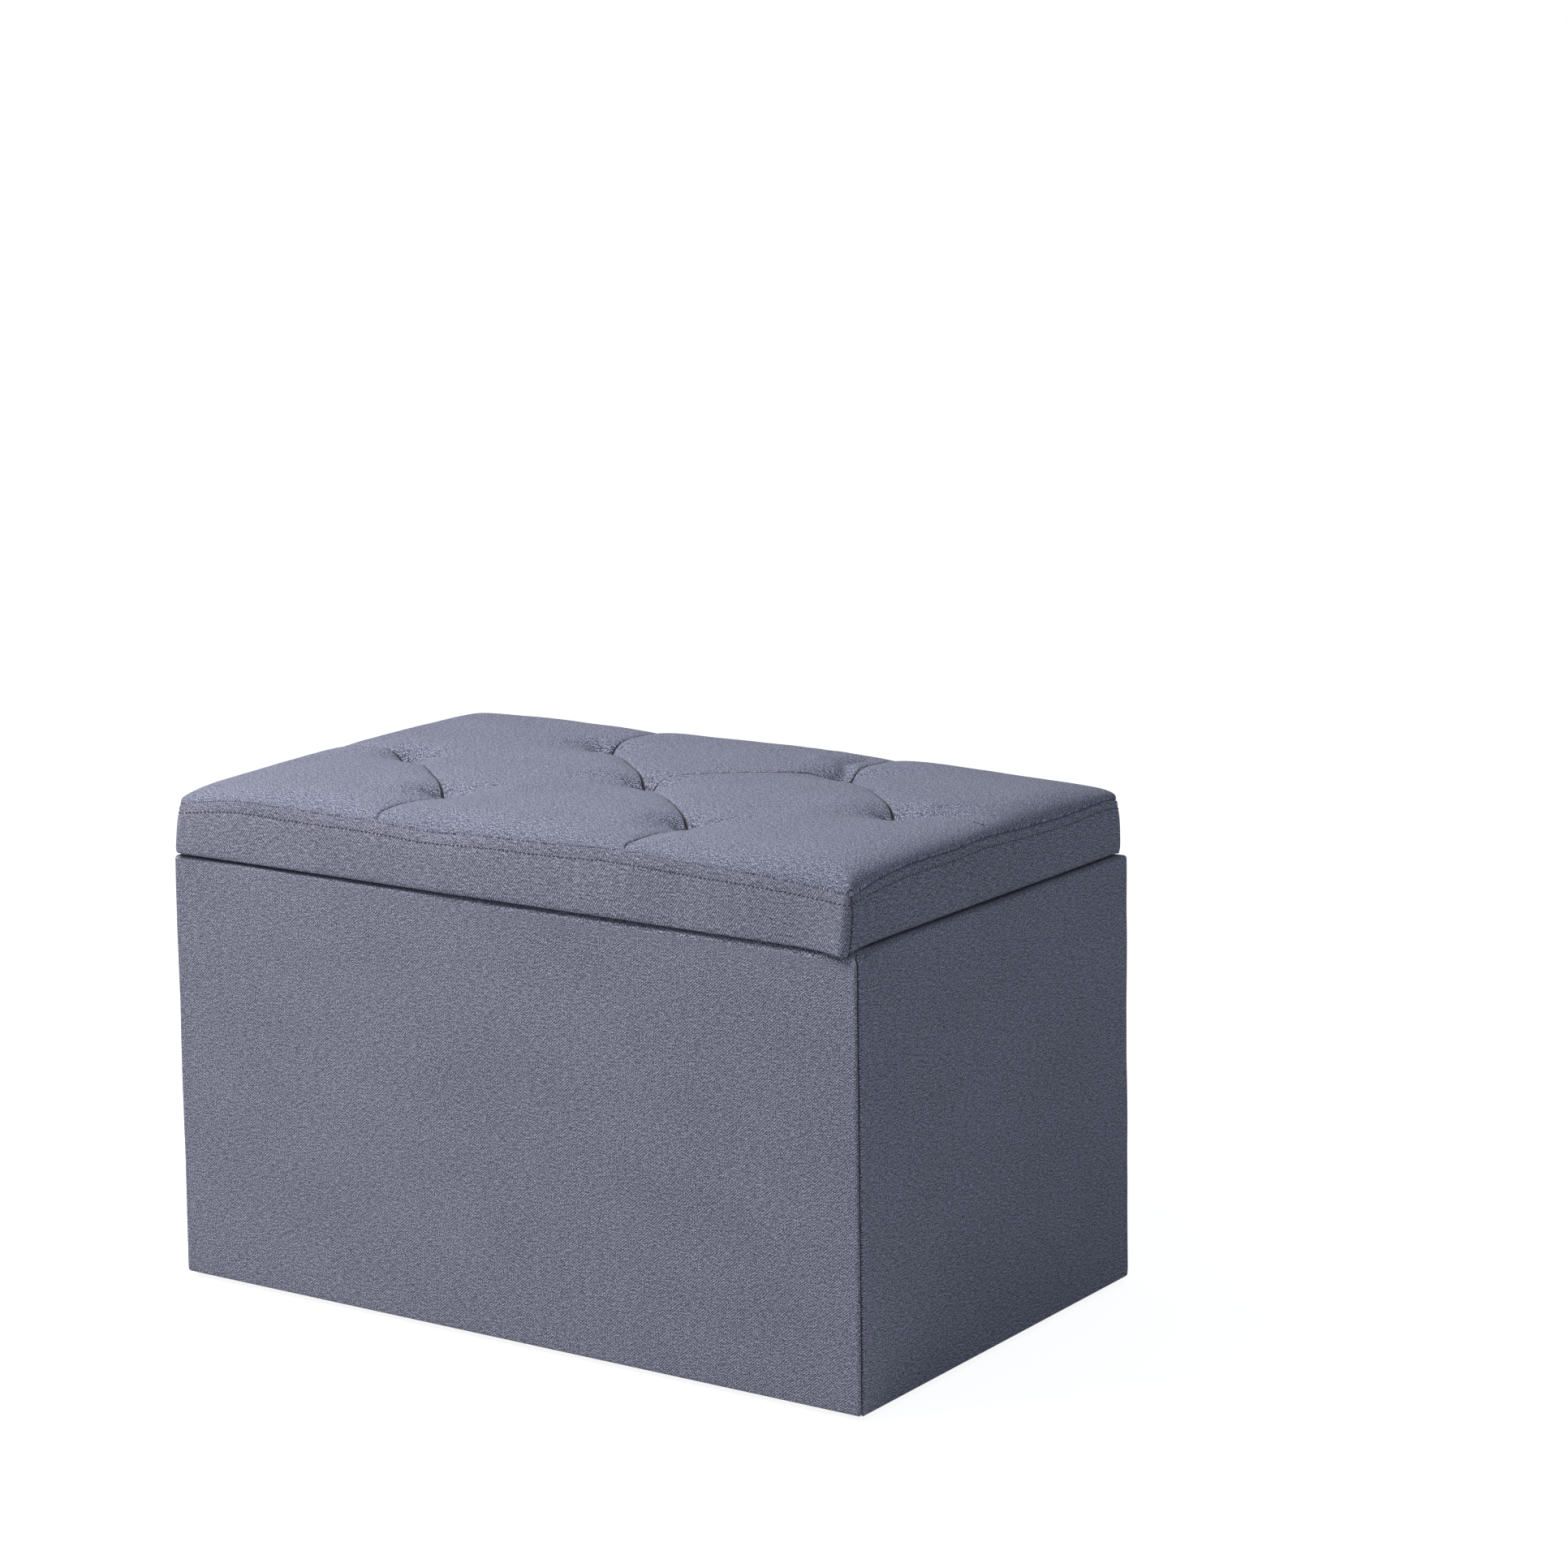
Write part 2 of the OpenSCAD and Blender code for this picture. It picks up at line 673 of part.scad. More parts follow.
// A low crown over the lid's outline taken in and lowered by an inset
module crown(base, inset) {
  hull() {
    translate([0, 0, base]) linear_extrude(0.1) lid_plan(inset, $fn = 32);
    for (step = [0:dome_steps]) {
      a = 90 * step / dome_steps;
      run = inset + crown_run * (1 - cos(a));
      translate([0, 0, max(base, seam_z - inset + crown_h * sin(a) - 0.1)]) linear_extrude(0.1)
        rounded(lid_w - 2 * run, lid_d - 2 * run, lid_r + run / 3, $fn = 32);
    }
  }
}

// The funnels that the tufts pull into the crown
module pulls(grow) {
  deep = crown_h - tuft_z;
  at_tufts() translate([0, 0, tuft_floor - grow])
    cylinder(h = deep + 2 * grow + over, r1 = funnel_r + 1.5 * grow, r2 = tuft_r + 1.5 * grow);
}

module lid_wadding() {
  color(wadding_colour) difference() {
    crown(foam_top + soft_gap, cover_t + soft_gap);
    pulls(cover_t + soft_gap);
    cord_holes(cord_r + 0.6);
  }
}

module lid_cover_top() {
  color(fabric_colour) difference() {
    crown(seam_z, 0);
    pulls(0);
    difference() {
      crown(seam_z - over, cover_t);
      pulls(cover_t);
    }
  }
}

// A strip of the side band with its turned-under edge; child 0 is the strip's share of the
// band, child 1 its share of the turned edge
module lid_band() {
  color(fabric_colour) difference() {
    union() {
      translate([0, 0, lid_z]) linear_extrude(band_h)
        intersection() { difference() { lid_plan(0); lid_plan(cover_t); } children(0); }
      translate([0, 0, lid_z]) linear_extrude(cover_t)
        intersection() { difference() { lid_plan(cover_t); lid_plan(flange_w); } children(1); }
    }
    knuckle_room();
    lid_leaf_seats();
    at_tufts() translate([0, 0, lid_z - over]) cylinder(r = washer_r + 1, h = cover_t + 2 * over);
    at_lid_bracket_screws() screw(stay_screw, run_gap);
    at_lid_staples() staple(run_gap);
  }
}
module lid_long_share(side, reach) { long_share(side, reach + lid_inset); }
module lid_short_share(side, reach) { short_share(side, reach + lid_inset + soft_gap); }
module lid_band_front() { lid_band() { lid_long_share(-1, lid_r); lid_long_share(-1, flange_w); } }
module lid_band_back() { lid_band() { lid_long_share(1, lid_r); lid_long_share(1, flange_w); } }
module lid_band_left() { lid_band() { lid_short_share(-1, lid_r); lid_short_share(-1, flange_w); } }
module lid_band_right() { lid_band() { lid_short_share(1, lid_r); lid_short_share(1, flange_w); } }

module lid_dust_cover() {
  color(black_cloth_colour) difference() {
    translate([0, 0, lid_z - lining_t]) linear_extrude(lining_t) lid_plan(flange_w - dust_lap);
    for (side = [-1, 1]) on_side(side)
      block([ear_x + stay_t - bracket_w - 1, rivet_y - bracket_l / 2 - 1, lid_z - lining_t - over],
            [bench_w / 2, rivet_y + bracket_l / 2 + 1, lid_z + over]);
    at_lid_staples() staple(run_gap);
  }
}

module lid_staples() { color(steel_colour) at_lid_staples() staple(); }

// A cord runs from the underside of its pull to a flat knot below its washer
module tuft_cords() {
  knot_z = lid_board_z - washer_t - knot_t;
  color(thread_colour) at_tufts() {
    translate([0, 0, knot_z]) cylinder(r = cord_r, h = tuft_floor - cover_t - knot_z);
    translate([0, 0, knot_z]) cylinder(r = cord_r + 1.3, h = knot_t);
  }
}

module tuft_washers() {
  color(plastic_colour) at_tufts() translate([0, 0, lid_board_z - washer_t]) difference() {
    cylinder(r = washer_r, h = washer_t);
    translate([0, 0, -over]) cylinder(r = cord_r + 0.3, h = washer_t + 2 * over);
  }
}

// ---------- every node ----------

board_front();
board_back();
board_left();
board_right();
board_floor();
corner_blocks();
cleats_long();
cleats_short();
frame_screws();
cleat_screws();
floor_screws();
pad_front();
pad_back();
pad_left();
pad_right();
cover_front();
cover_back();
cover_left();
cover_right();
lining_walls();
lining_floor();
box_dust_cover();
box_staples();
glides();
glide_screws();
hinge_box_leaf_left();
hinge_box_leaf_right();
hinge_pin_left();
hinge_pin_right();
hinge_box_screws();
stay_wall_plate_left();
stay_wall_plate_right();
stay_studs();
stay_wall_screws();
lid_board();
lid_foam();
lid_wadding();
lid_cover_top();
lid_band_front();
lid_band_back();
lid_band_left();
lid_band_right();
lid_dust_cover();
lid_staples();
tuft_cords();
tuft_washers();
hinge_lid_leaf_left();
hinge_lid_leaf_right();
hinge_lid_screws();
stay_lid_bracket_left();
stay_lid_bracket_right();
stay_lid_screws();
stay_rivets();
stay_arm_left();
stay_arm_right();
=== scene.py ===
"""Storage bench with a deep-buttoned lid: covers, filling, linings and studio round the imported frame.

Metres, in the frame's own axes: X runs right along the front, Y to the back, Z up.
"""

from __future__ import annotations

import json
import logging
import math
from dataclasses import dataclass, field
from enum import Enum

import bmesh
import bpy
import numpy as np
from mathutils import Matrix, Vector
from mathutils.geometry import delaunay_2d_cdt

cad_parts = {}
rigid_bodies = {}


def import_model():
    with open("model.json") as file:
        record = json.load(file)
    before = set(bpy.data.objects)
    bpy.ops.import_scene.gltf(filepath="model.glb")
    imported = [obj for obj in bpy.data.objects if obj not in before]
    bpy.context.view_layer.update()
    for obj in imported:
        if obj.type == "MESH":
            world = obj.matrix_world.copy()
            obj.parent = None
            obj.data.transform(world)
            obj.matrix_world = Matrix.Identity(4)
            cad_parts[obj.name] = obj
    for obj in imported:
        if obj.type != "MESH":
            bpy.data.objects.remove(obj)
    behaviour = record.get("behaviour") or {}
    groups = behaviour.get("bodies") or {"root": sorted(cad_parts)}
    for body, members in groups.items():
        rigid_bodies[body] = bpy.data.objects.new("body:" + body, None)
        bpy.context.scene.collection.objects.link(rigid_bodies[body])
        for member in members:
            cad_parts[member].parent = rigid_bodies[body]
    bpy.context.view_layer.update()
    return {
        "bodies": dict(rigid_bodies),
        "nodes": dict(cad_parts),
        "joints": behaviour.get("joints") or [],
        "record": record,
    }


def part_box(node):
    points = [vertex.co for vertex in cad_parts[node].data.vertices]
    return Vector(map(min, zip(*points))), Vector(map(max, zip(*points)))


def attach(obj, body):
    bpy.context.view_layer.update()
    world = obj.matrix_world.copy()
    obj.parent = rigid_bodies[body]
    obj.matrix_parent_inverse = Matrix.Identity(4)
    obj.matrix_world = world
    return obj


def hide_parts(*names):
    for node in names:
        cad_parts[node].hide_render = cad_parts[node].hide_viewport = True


LOG = logging.getLogger("bench")
Array = np.ndarray
Colour = tuple[float, float, float]
Material = bpy.types.Material
Piece = bpy.types.Object
CornerDrop = tuple[int, int, float, float, float]
Place = tuple[float, float]
Rod = tuple[float, float, float, float, float]
Socket = bpy.types.NodeSocket
Swell = tuple[float, float, float]
MM = 0.001
TINY = 1e-12


class Body(Enum):
    """Bodies that made pieces ride on."""

    BOX = "box"
    LID = "lid"


class Wall(Enum):
    """The four upright sides."""

    FRONT = "front"
    BACK = "back"
    LEFT = "left"
    RIGHT = "right"


class Hold(Enum):
    """How a cloth is held."""

    STRETCHED = "stretched"
    LAID = "laid"


class Slot(Enum):
    """Names of the record's finishes."""

    FABRIC = "upholstery_fabric"
    FOAM = "foam"
    WADDING = "wadding"
    LINING = "lining_cloth"
    THREAD = "cord_thread"


# ---------------------------------------------------------------- finishes


class Nodes:
    """A small hand for wiring one node tree."""

    def __init__(self, tree: bpy.types.NodeTree) -> None:
        """Takes a tree in hand."""
        self.tree = tree

    def add(
        self, kind: str, inputs: dict[int | str, object] | None = None, **values: object
    ) -> bpy.types.Node:
        """Adds a node.

        Args:
            kind: the node's type name.
            inputs: a value or a socket for each input, by its number or name.
            **values: attributes of the node.

        Returns:
            The node.
        """
        node = self.tree.nodes.new(kind)
        for key, value in values.items():
            setattr(node, key, value)
        for place, what in (inputs or {}).items():
            if isinstance(what, Socket):
                self.link(what, node.inputs[place])
            else:
                node.inputs[place].default_value = what
        return node

    def link(self, source: Socket, target: Socket) -> None:
        """Joins two sockets."""
        self.tree.links.new(source, target)

    def math(self, operation: str, a: object, b: object = 0.0, c: object = 0.0) -> Socket:
        """A Math node's output, for numbers or sockets."""
        return self.add("ShaderNodeMath", {0: a, 1: b, 2: c}, operation=operation).outputs[0]

    def seen_directly(self) -> Socket:
        """1 for rays from the camera, mirrors and clear things, 0 for rays that carry light.

        Returns:
            The value.
        """
        rays = self.add("ShaderNodeLightPath").outputs
        straight = self.math("MAXIMUM", rays["Is Camera Ray"], rays["Is Glossy Ray"])
        return self.math("MAXIMUM", straight, rays["Is Transmission Ray"])


class Shading(Nodes):
    """The nodes of one new material, round its principled shader."""

    def __init__(self, name: str) -> None:
        """Starts the material.

        Args:
            name: the material's name.
        """
        self.material = bpy.data.materials.new(name)
        self.material.use_nodes = True
        super().__init__(self.material.node_tree)
        self.shader = self.tree.nodes["Principled BSDF"]

    def noise(self, vector: Socket, scale: float, detail: float = 2.0, rough: float = 0.5) -> Socket:
        """Noise from 0 to 1, with so many cells a metre, octaves, and weight of the fine octaves."""
        inputs = {"Vector": vector, "Scale": scale, "Detail": detail, "Roughness": rough}
        return self.add("ShaderNodeTexNoise", inputs).outputs[0]

    def stretch(self, vector: Socket, scale: tuple[float, float, float], turn: float = 0.0) -> Socket:
        """The vector scaled along its axes, after a turn about Z.

        Args:
            vector: the vector.
            scale: its three scales.
            turn: in radians.

        Returns:
            The stretched vector.
        """
        turned = self.add("ShaderNodeMapping", {"Vector": vector, "Rotation": (0.0, 0.0, turn)})
        inputs = {0: turned.outputs[0], 1: scale}
        return self.add("ShaderNodeVectorMath", inputs, operation="MULTIPLY").outputs[0]

    def colour(self, value: Socket, *stops: tuple[float, Colour]) -> None:
        """The shader's colour, from a ramp.

        Args:
            value: what the ramp reads.
            *stops: places and colours in order.
        """
        node = self.add("ShaderNodeValToRGB", {0: value})
        bar = node.color_ramp
        while len(bar.elements) < len(stops):
            bar.elements.new(0.5)
        for element, (place, colour) in zip(bar.elements, stops):
            element.position = place
            element.color = (*colour, 1.0)
        self.link(node.outputs[0], self.shader.inputs["Base Color"])

    def bump(self, height: Socket, depth: float, strength: float = 1.0) -> None:
        """Bump on the shader, depth in metres."""
        inputs = {"Height": height, "Distance": depth, "Strength": strength}
        self.link(self.add("ShaderNodeBump", inputs).outputs[0], self.shader.inputs["Normal"])

    def set(self, **values: object) -> None:
        """Sets uniform values on the shader, underscores for spaces."""
        for key, value in values.items():
            self.shader.inputs[key.replace("_", " ")].default_value = value

    def cloth_place(self) -> Socket:
        """The place on the flat cloth, in metres."""
        return self.add("ShaderNodeUVMap", uv_map="weave").outputs[0]

    def solid_place(self) -> Socket:
        """The place in the piece's own space, in metres."""
        return self.add("ShaderNodeTexCoord").outputs["Object"]


@dataclass(frozen=True)
class HeatheredTwill:
    """Blue-grey cloth of mixed light and dark fibres in a fine diagonal weave."""

    name: str = "heathered_twill"
    dark: Colour = (0.022, 0.022, 0.034)
    mid: Colour = (0.172, 0.1675, 0.2225)
    light: Colour = (0.625, 0.610, 0.735)
    rib: float = 0.0018
    float_length: float = 0.0024
    slant: float = 41.0
    relief: float = 0.00022
    grain: tuple[float, float, float] = (1.0, 1.0, 1.0)
    fleck: float = 1.6
    sway: float = 0.0024

    def make(self) -> Material:
        """Wires the material.

        Returns:
            The material.
        """
        n = Shading(self.name)
        at = n.cloth_place()
        turn = math.radians(self.slant)
        x, y, _ = n.add("ShaderNodeSeparateXYZ", {0: at}).outputs
        sway = n.math("MULTIPLY", n.math("SUBTRACT", n.noise(at, 70.0, 1.0), 0.5), self.sway)
        square = n.math("MULTIPLY_ADD", x, -math.sin(turn), n.math("MULTIPLY", y, math.cos(turn)))
        across = n.math("ADD", sway, square)
        along = n.math("MULTIPLY_ADD", x, math.cos(turn), n.math("MULTIPLY", y, math.sin(turn)))
        line = n.math("SINE", n.math("MULTIPLY", across, 2 * math.pi / self.rib))
        step = n.math("MULTIPLY", n.math("FLOOR", n.math("DIVIDE", across, self.rib)), 2.2)
        dash = n.math("SINE", n.math("ADD", step, n.math("MULTIPLY", along, 2 * math.pi / self.float_length)))
        weave = n.math("MULTIPLY", line, n.math("MULTIPLY_ADD", dash, 0.35, 0.65))
        speck = n.noise(n.stretch(at, self.grain), 900.0, 1.0, 0.6)
        weft = n.noise(n.stretch(at, (0.2, 1.1, 1.0)), 700.0, 1.0, 0.5)
        heather = n.noise(n.stretch(at, self.grain), 480.0, 1.0, 0.5)
        broad = n.noise(n.stretch(at, (0.5, 1.0, 1.0)), 14.0, 3.0, 0.6)
        tone = n.math("MULTIPLY_ADD", weave, 0.22, 0.5)
        for part, weight in ((speck, self.fleck), (weft, 0.40), (heather, 0.35), (broad, 0.08)):
            tone = n.math("MULTIPLY_ADD", n.math("SUBTRACT", part, 0.5), weight, tone)
        n.colour(tone, (0.12, self.dark), (0.5, self.mid), (0.88, self.light))
        n.bump(n.math("MULTIPLY_ADD", weave, 0.35, n.math("MULTIPLY", tone, 0.8)), self.relief, 0.7)
        n.set(Roughness=0.95, Sheen_Weight=0.06, Sheen_Roughness=0.5, Specular_IOR_Level=0.2)
        return n.material


@dataclass(frozen=True)
class Felt:
    """Black non-woven lining cloth, slightly fibrous."""

    name: str = "lining_felt"
    dark: Colour = (0.010, 0.010, 0.011)
    light: Colour = (0.030, 0.030, 0.033)

    def make(self) -> Material:
        """Wires the material.

        Returns:
            The material.
        """
        n = Shading(self.name)
        at = n.solid_place()
        fibres = n.noise(at, 900.0, 4.0, 0.7)
        web = n.noise(n.stretch(at, (1.0, 0.3, 1.0), 0.5), 500.0, 2.0, 0.6)
        mix = n.math("MULTIPLY_ADD", web, 0.5, n.math("MULTIPLY", fibres, 0.5))
        n.colour(mix, (0.35, self.dark), (0.65, self.light))
        n.bump(mix, 0.0004)
        n.set(Roughness=0.95, Sheen_Weight=0.2, Sheen_Roughness=0.6)
        return n.material


@dataclass(frozen=True)
class Timber:
    """Pale softwood board with fine grain."""

    name: str = "pale_board"
    early: Colour = (0.56, 0.41, 0.25)
    late: Colour = (0.40, 0.26, 0.14)

    def make(self) -> Material:
        """Wires the material.

        Returns:
            The material.
        """
        n = Shading(self.name)
        at = n.solid_place()
        rings = n.noise(n.stretch(at, (0.6, 9.0, 9.0)), 6.0, 4.0, 0.6)
        streak = n.noise(n.stretch(at, (1.0, 30.0, 30.0)), 14.0, 2.0, 0.5)
        mix = n.math("MULTIPLY_ADD", streak, 0.35, n.math("MULTIPLY", rings, 0.65))
        n.colour(mix, (0.36, self.early), (0.62, self.late))
        n.bump(mix, 0.0003)
        n.set(Roughness=0.62)
        return n.material


@dataclass(frozen=True)
class PlatedSteel:
    """Bright zinc plate, faintly clouded."""

    name: str = "zinc_steel"
    dark: Colour = (0.50, 0.50, 0.52)
    light: Colour = (0.70, 0.70, 0.71)
    rough: float = 0.34

    def make(self) -> Material:
        """Wires the material.

        Returns:
            The material.
        """
        n = Shading(self.name)
        at = n.solid_place()
        cloud = n.noise(at, 140.0, 3.0, 0.6)
        n.colour(cloud, (0.3, self.dark), (0.7, self.light))
        brushed = n.noise(n.stretch(at, (0.1, 1.0, 1.0)), 2500.0, 1.0)
        n.link(n.math("MULTIPLY_ADD", cloud, 0.2, self.rough - 0.1), n.shader.inputs["Roughness"])
        n.bump(brushed, 0.00004)
        n.set(Metallic=1.0)
        return n.material


@dataclass(frozen=True)
class MouldedPlastic:
    """Dull black moulded plastic."""

    name: str = "glide_plastic"
    colour: Colour = (0.018, 0.018, 0.019)

    def make(self) -> Material:
        """Wires the material.

        Returns:
            The material.
        """
        n = Shading(self.name)
        grain = n.noise(n.solid_place(), 1600.0, 2.0)
        lifted = tuple(c * 1.8 for c in self.colour)
        n.colour(grain, (0.3, self.colour), (0.7, lifted))
        n.bump(grain, 0.00006)
        n.set(Roughness=0.5)
        return n.material


@dataclass(frozen=True)
class Filling:
    """Open foam or lofted fibre."""

    name: str
    low: Colour
    high: Colour
    cell: float
    relief: float

    def make(self) -> Material:
        """Wires the material.

        Returns:
            The material.
        """
        n = Shading(self.name)
        at = n.solid_place()
        cells = n.noise(at, self.cell, 3.0, 0.7)
        patch = n.noise(at, 25.0, 1.0)
        mix = n.math("MULTIPLY_ADD", patch, 0.3, n.math("MULTIPLY", cells, 0.7))
        n.colour(mix, (0.3, self.low), (0.7, self.high))
        n.bump(cells, self.relief)
        n.set(Roughness=0.95, Sheen_Weight=0.3)
        return n.material


@dataclass(frozen=True)
class TwistedThread:
    """Sewing thread or tufting cord with a twist."""

    name: str
    dark: Colour
    light: Colour
    twist: float = 1400.0

    def make(self) -> Material:
        """Wires the material.

        Returns:
            The material.
        """
        n = Shading(self.name)
        at = n.solid_place()
        ply = n.noise(n.stretch(at, (1.0, 1.0, 1.6)), self.twist, 2.0, 0.6)
        n.colour(ply, (0.3, self.dark), (0.7, self.light))
        n.bump(ply, 0.00012)
        n.set(Roughness=0.8, Sheen_Weight=0.2)
        return n.material


@dataclass
class FinishRack:
    """Every finish, made once."""

    twill: Material = field(default_factory=HeatheredTwill().make)
    band_twill: Material = field(default_factory=HeatheredTwill(
        "heathered_twill_turned", slant=50.0, fleck=1.2,
    ).make)
    # A bluer, greener copy of the twill for the top panel, tinted for the bluish sky light that falls on the
    # top: painted light.
    sky_tinted_top_twill: Material = field(default_factory=HeatheredTwill(
        "heathered_twill_top_sky_tint", (0.022, 0.023, 0.035), (0.160, 0.163, 0.225), (0.640, 0.650, 0.800),
        slant=48.0, grain=(1.1, 0.75, 1.0), fleck=1.4,
    ).make)
    felt: Material = field(default_factory=Felt().make)
    timber: Material = field(default_factory=Timber().make)
    plate: Material = field(default_factory=PlatedSteel().make)
    screw: Material = field(default_factory=PlatedSteel(
        "screw_steel", (0.42, 0.40, 0.34), (0.66, 0.62, 0.50), 0.3,
    ).make)
    plastic: Material = field(default_factory=MouldedPlastic().make)
    foam: Material = field(default_factory=Filling(
        "seat_foam", (0.62, 0.55, 0.36), (0.80, 0.74, 0.54), 700.0, 0.0005,
    ).make)
    wadding: Material = field(default_factory=Filling(
        "fibre_wadding", (0.74, 0.74, 0.73), (0.90, 0.90, 0.88), 260.0, 0.0012,
    ).make)
    seam_thread: Material = field(default_factory=TwistedThread(
        "seam_thread", (0.010, 0.010, 0.014), (0.030, 0.030, 0.040),
    ).make)
    # Near-black thread laid along seams and creases to draw the shade that falls in them: painted shade, not
    # the thread's own colour.
    painted_shade_thread: Material = field(default_factory=TwistedThread(
        "seam_painted_shade_thread", (0.0015, 0.0015, 0.002), (0.006, 0.006, 0.009),
    ).make)
    cord: Material = field(default_factory=TwistedThread(
        "tuft_cord", (0.62, 0.60, 0.54), (0.80, 0.78, 0.72),
    ).make)


# ---------------------------------------------------------------- shapes


class Ripple:
    """A smooth uneven field made of a few fixed sine waves."""

    def __init__(self, seed: int, longest: float, waves: int = 9) -> None:
        """Draws the waves.

        Args:
            seed: picks the waves.
            longest: longest wavelength in metres.
            waves: how many waves.
        """
        draw = np.random.default_rng(seed)
        turn = draw.uniform(0, 2 * math.pi, (waves, 3))
        lengths = longest * draw.uniform(0.35, 1.0, waves)
        tip, spin = turn[:, 0], turn[:, 1]
        steer = np.stack([np.cos(tip), np.sin(tip) * np.cos(spin), np.sin(tip) * np.sin(spin)], 1)
        self.waves = steer * (2 * math.pi / lengths)[:, None]
        self.start = turn[:, 2]

    def at(self, points: Array) -> Array:
        """The field at places, about -1 to 1."""
        phase = points @ self.waves.T + self.start
        return np.sin(phase).sum(-1) / math.sqrt(len(self.start)) / 1.2


def unit(vectors: Array) -> Array:
    """Brings vectors to length one along the last axis."""
    return vectors / np.maximum(np.linalg.norm(vectors, axis=-1, keepdims=True), TINY)


def strip_faces(rows: int, columns: int, loop_rows: bool = False, loop_columns: bool = False) -> Array:
    """Quads of a grid stored row by row.

    Args:
        rows: number of rows.
        columns: number of columns.
        loop_rows: the last row joins the first.
        loop_columns: the last column joins the first.

    Returns:
        (n, 4) vertex numbers.
    """
    index = np.arange(rows * columns).reshape(rows, columns)
    if loop_rows:
        index = np.concatenate([index, index[:1]], 0)
    if loop_columns:
        index = np.concatenate([index, index[:, :1]], 1)
    a, b, c, d = index[:-1, :-1], index[:-1, 1:], index[1:, 1:], index[1:, :-1]
    return np.stack([a, b, c, d], -1).reshape(-1, 4)


def mesh_piece(
    name: str, points: Array, faces: list, finish: Material, cloth: Array | None = None
) -> Piece:
    """Makes a smooth mesh object at the origin.

    Args:
        name: the piece's name.
        points: (n, 3) corners in metres.
        faces: vertex numbers of each face.
        finish: its material.
        cloth: (n, 2) places on the flat cloth in metres.

    Returns:
        The object.
    """
    mesh = bpy.data.meshes.new(name)
    mesh.from_pydata(np.asarray(points, float).tolist(), [], [list(map(int, f)) for f in faces])
    mesh.validate()
    if cloth is not None:
        loops = np.empty(len(mesh.loops), np.int32)
        mesh.loops.foreach_get("vertex_index", loops)
        layer = mesh.uv_layers.new(name="weave")
        layer.data.foreach_set("uv", np.asarray(cloth, np.float32)[loops].ravel())
    mesh.materials.append(finish)
    mesh.polygons.foreach_set("use_smooth", np.ones(len(mesh.polygons), bool))
    mesh.update()
    piece = bpy.data.objects.new(name, mesh)
    bpy.context.scene.collection.objects.link(piece)
    return piece


def settle(piece: Piece) -> Piece:
    """Applies a piece's modifiers to its mesh.

    Args:
        piece: the piece.

    Returns:
        The piece.
    """
    graph = bpy.context.evaluated_depsgraph_get()
    graph.update()
    shown = piece.evaluated_get(graph)
    mesh = bpy.data.meshes.new_from_object(shown, preserve_all_data_layers=True, depsgraph=graph)
    piece.modifiers.clear()
    old, piece.data = piece.data, mesh
    mesh.name = piece.name
    bpy.data.meshes.remove(old)
    return piece


def thicken(piece: Piece, thickness: float) -> Piece:
    """Gives a surface a thickness inwards.

    Args:
        piece: a surface with its normals outwards.
        thickness: in metres.

    Returns:
        The piece, closed.
    """
    solid = piece.modifiers.new("thickness", "SOLIDIFY")
    solid.thickness = thickness
    solid.offset = -1.0
    solid.use_rim = True
    solid.use_even_offset = False
    return settle(piece)


def sheet_piece(
    name: str, points: Array, cloth: Array, finish: Material, facing: tuple[Array, Array],
    thickness: float, loop: bool = False,
) -> Piece:
    """A cloth of some thickness, from a grid of points on its outside.

    Args:
        name: the piece's name.
        points: (rows, columns, 3) in metres.
        cloth: (rows, columns, 2) places on the flat cloth.
        finish: its material.
        facing: a place on it, and which way is out there.
        thickness: in metres.
        loop: the last column joins the first.

    Returns:
        The piece.
    """
    faces = strip_faces(*points.shape[:2], loop_columns=loop)
    piece = mesh_piece(name, points.reshape(-1, 3), faces, finish, cloth.reshape(-1, 2))
    orient(piece, *facing)
    return thicken(piece, thickness)


def notch(piece: Piece, boxes: list[tuple[Vector, Vector]], rods: list[Rod]) -> Piece:
    """Cuts boxes and rods along X out of a closed piece.

    Args:
        piece: the piece.
        boxes: lowest and highest corners.
        rods: (x0, x1, y, z, radius) of each rod.

    Returns:
        The piece.
    """
    cutter = bmesh.new()
    for low, high in boxes:
        made = bmesh.ops.create_cube(cutter, size=1.0)["verts"]
        middle, size = (low + high) / 2, high - low
        for v in made:
            v.co = Vector([middle[i] + v.co[i] * size[i] for i in range(3)])
    for x0, x1, y, z, radius in rods:
        place = Matrix.Translation(((x0 + x1) / 2, y, z)) @ Matrix.Rotation(math.pi / 2, 4, "Y")
        bmesh.ops.create_cone(
            cutter, cap_ends=True, segments=24, radius1=radius, radius2=radius, depth=x1 - x0, matrix=place
        )
    mesh = bpy.data.meshes.new("cutter")
    cutter.to_mesh(mesh)
    cutter.free()
    tool = bpy.data.objects.new("cutter", mesh)
    bpy.context.scene.collection.objects.link(tool)
    cut = piece.modifiers.new("notch", "BOOLEAN")
    cut.operation = "DIFFERENCE"
    cut.solver = "EXACT"
    cut.use_self = True
    cut.object = tool
    settle(piece)
    bpy.data.objects.remove(tool)
    bpy.data.meshes.remove(mesh)
    return piece


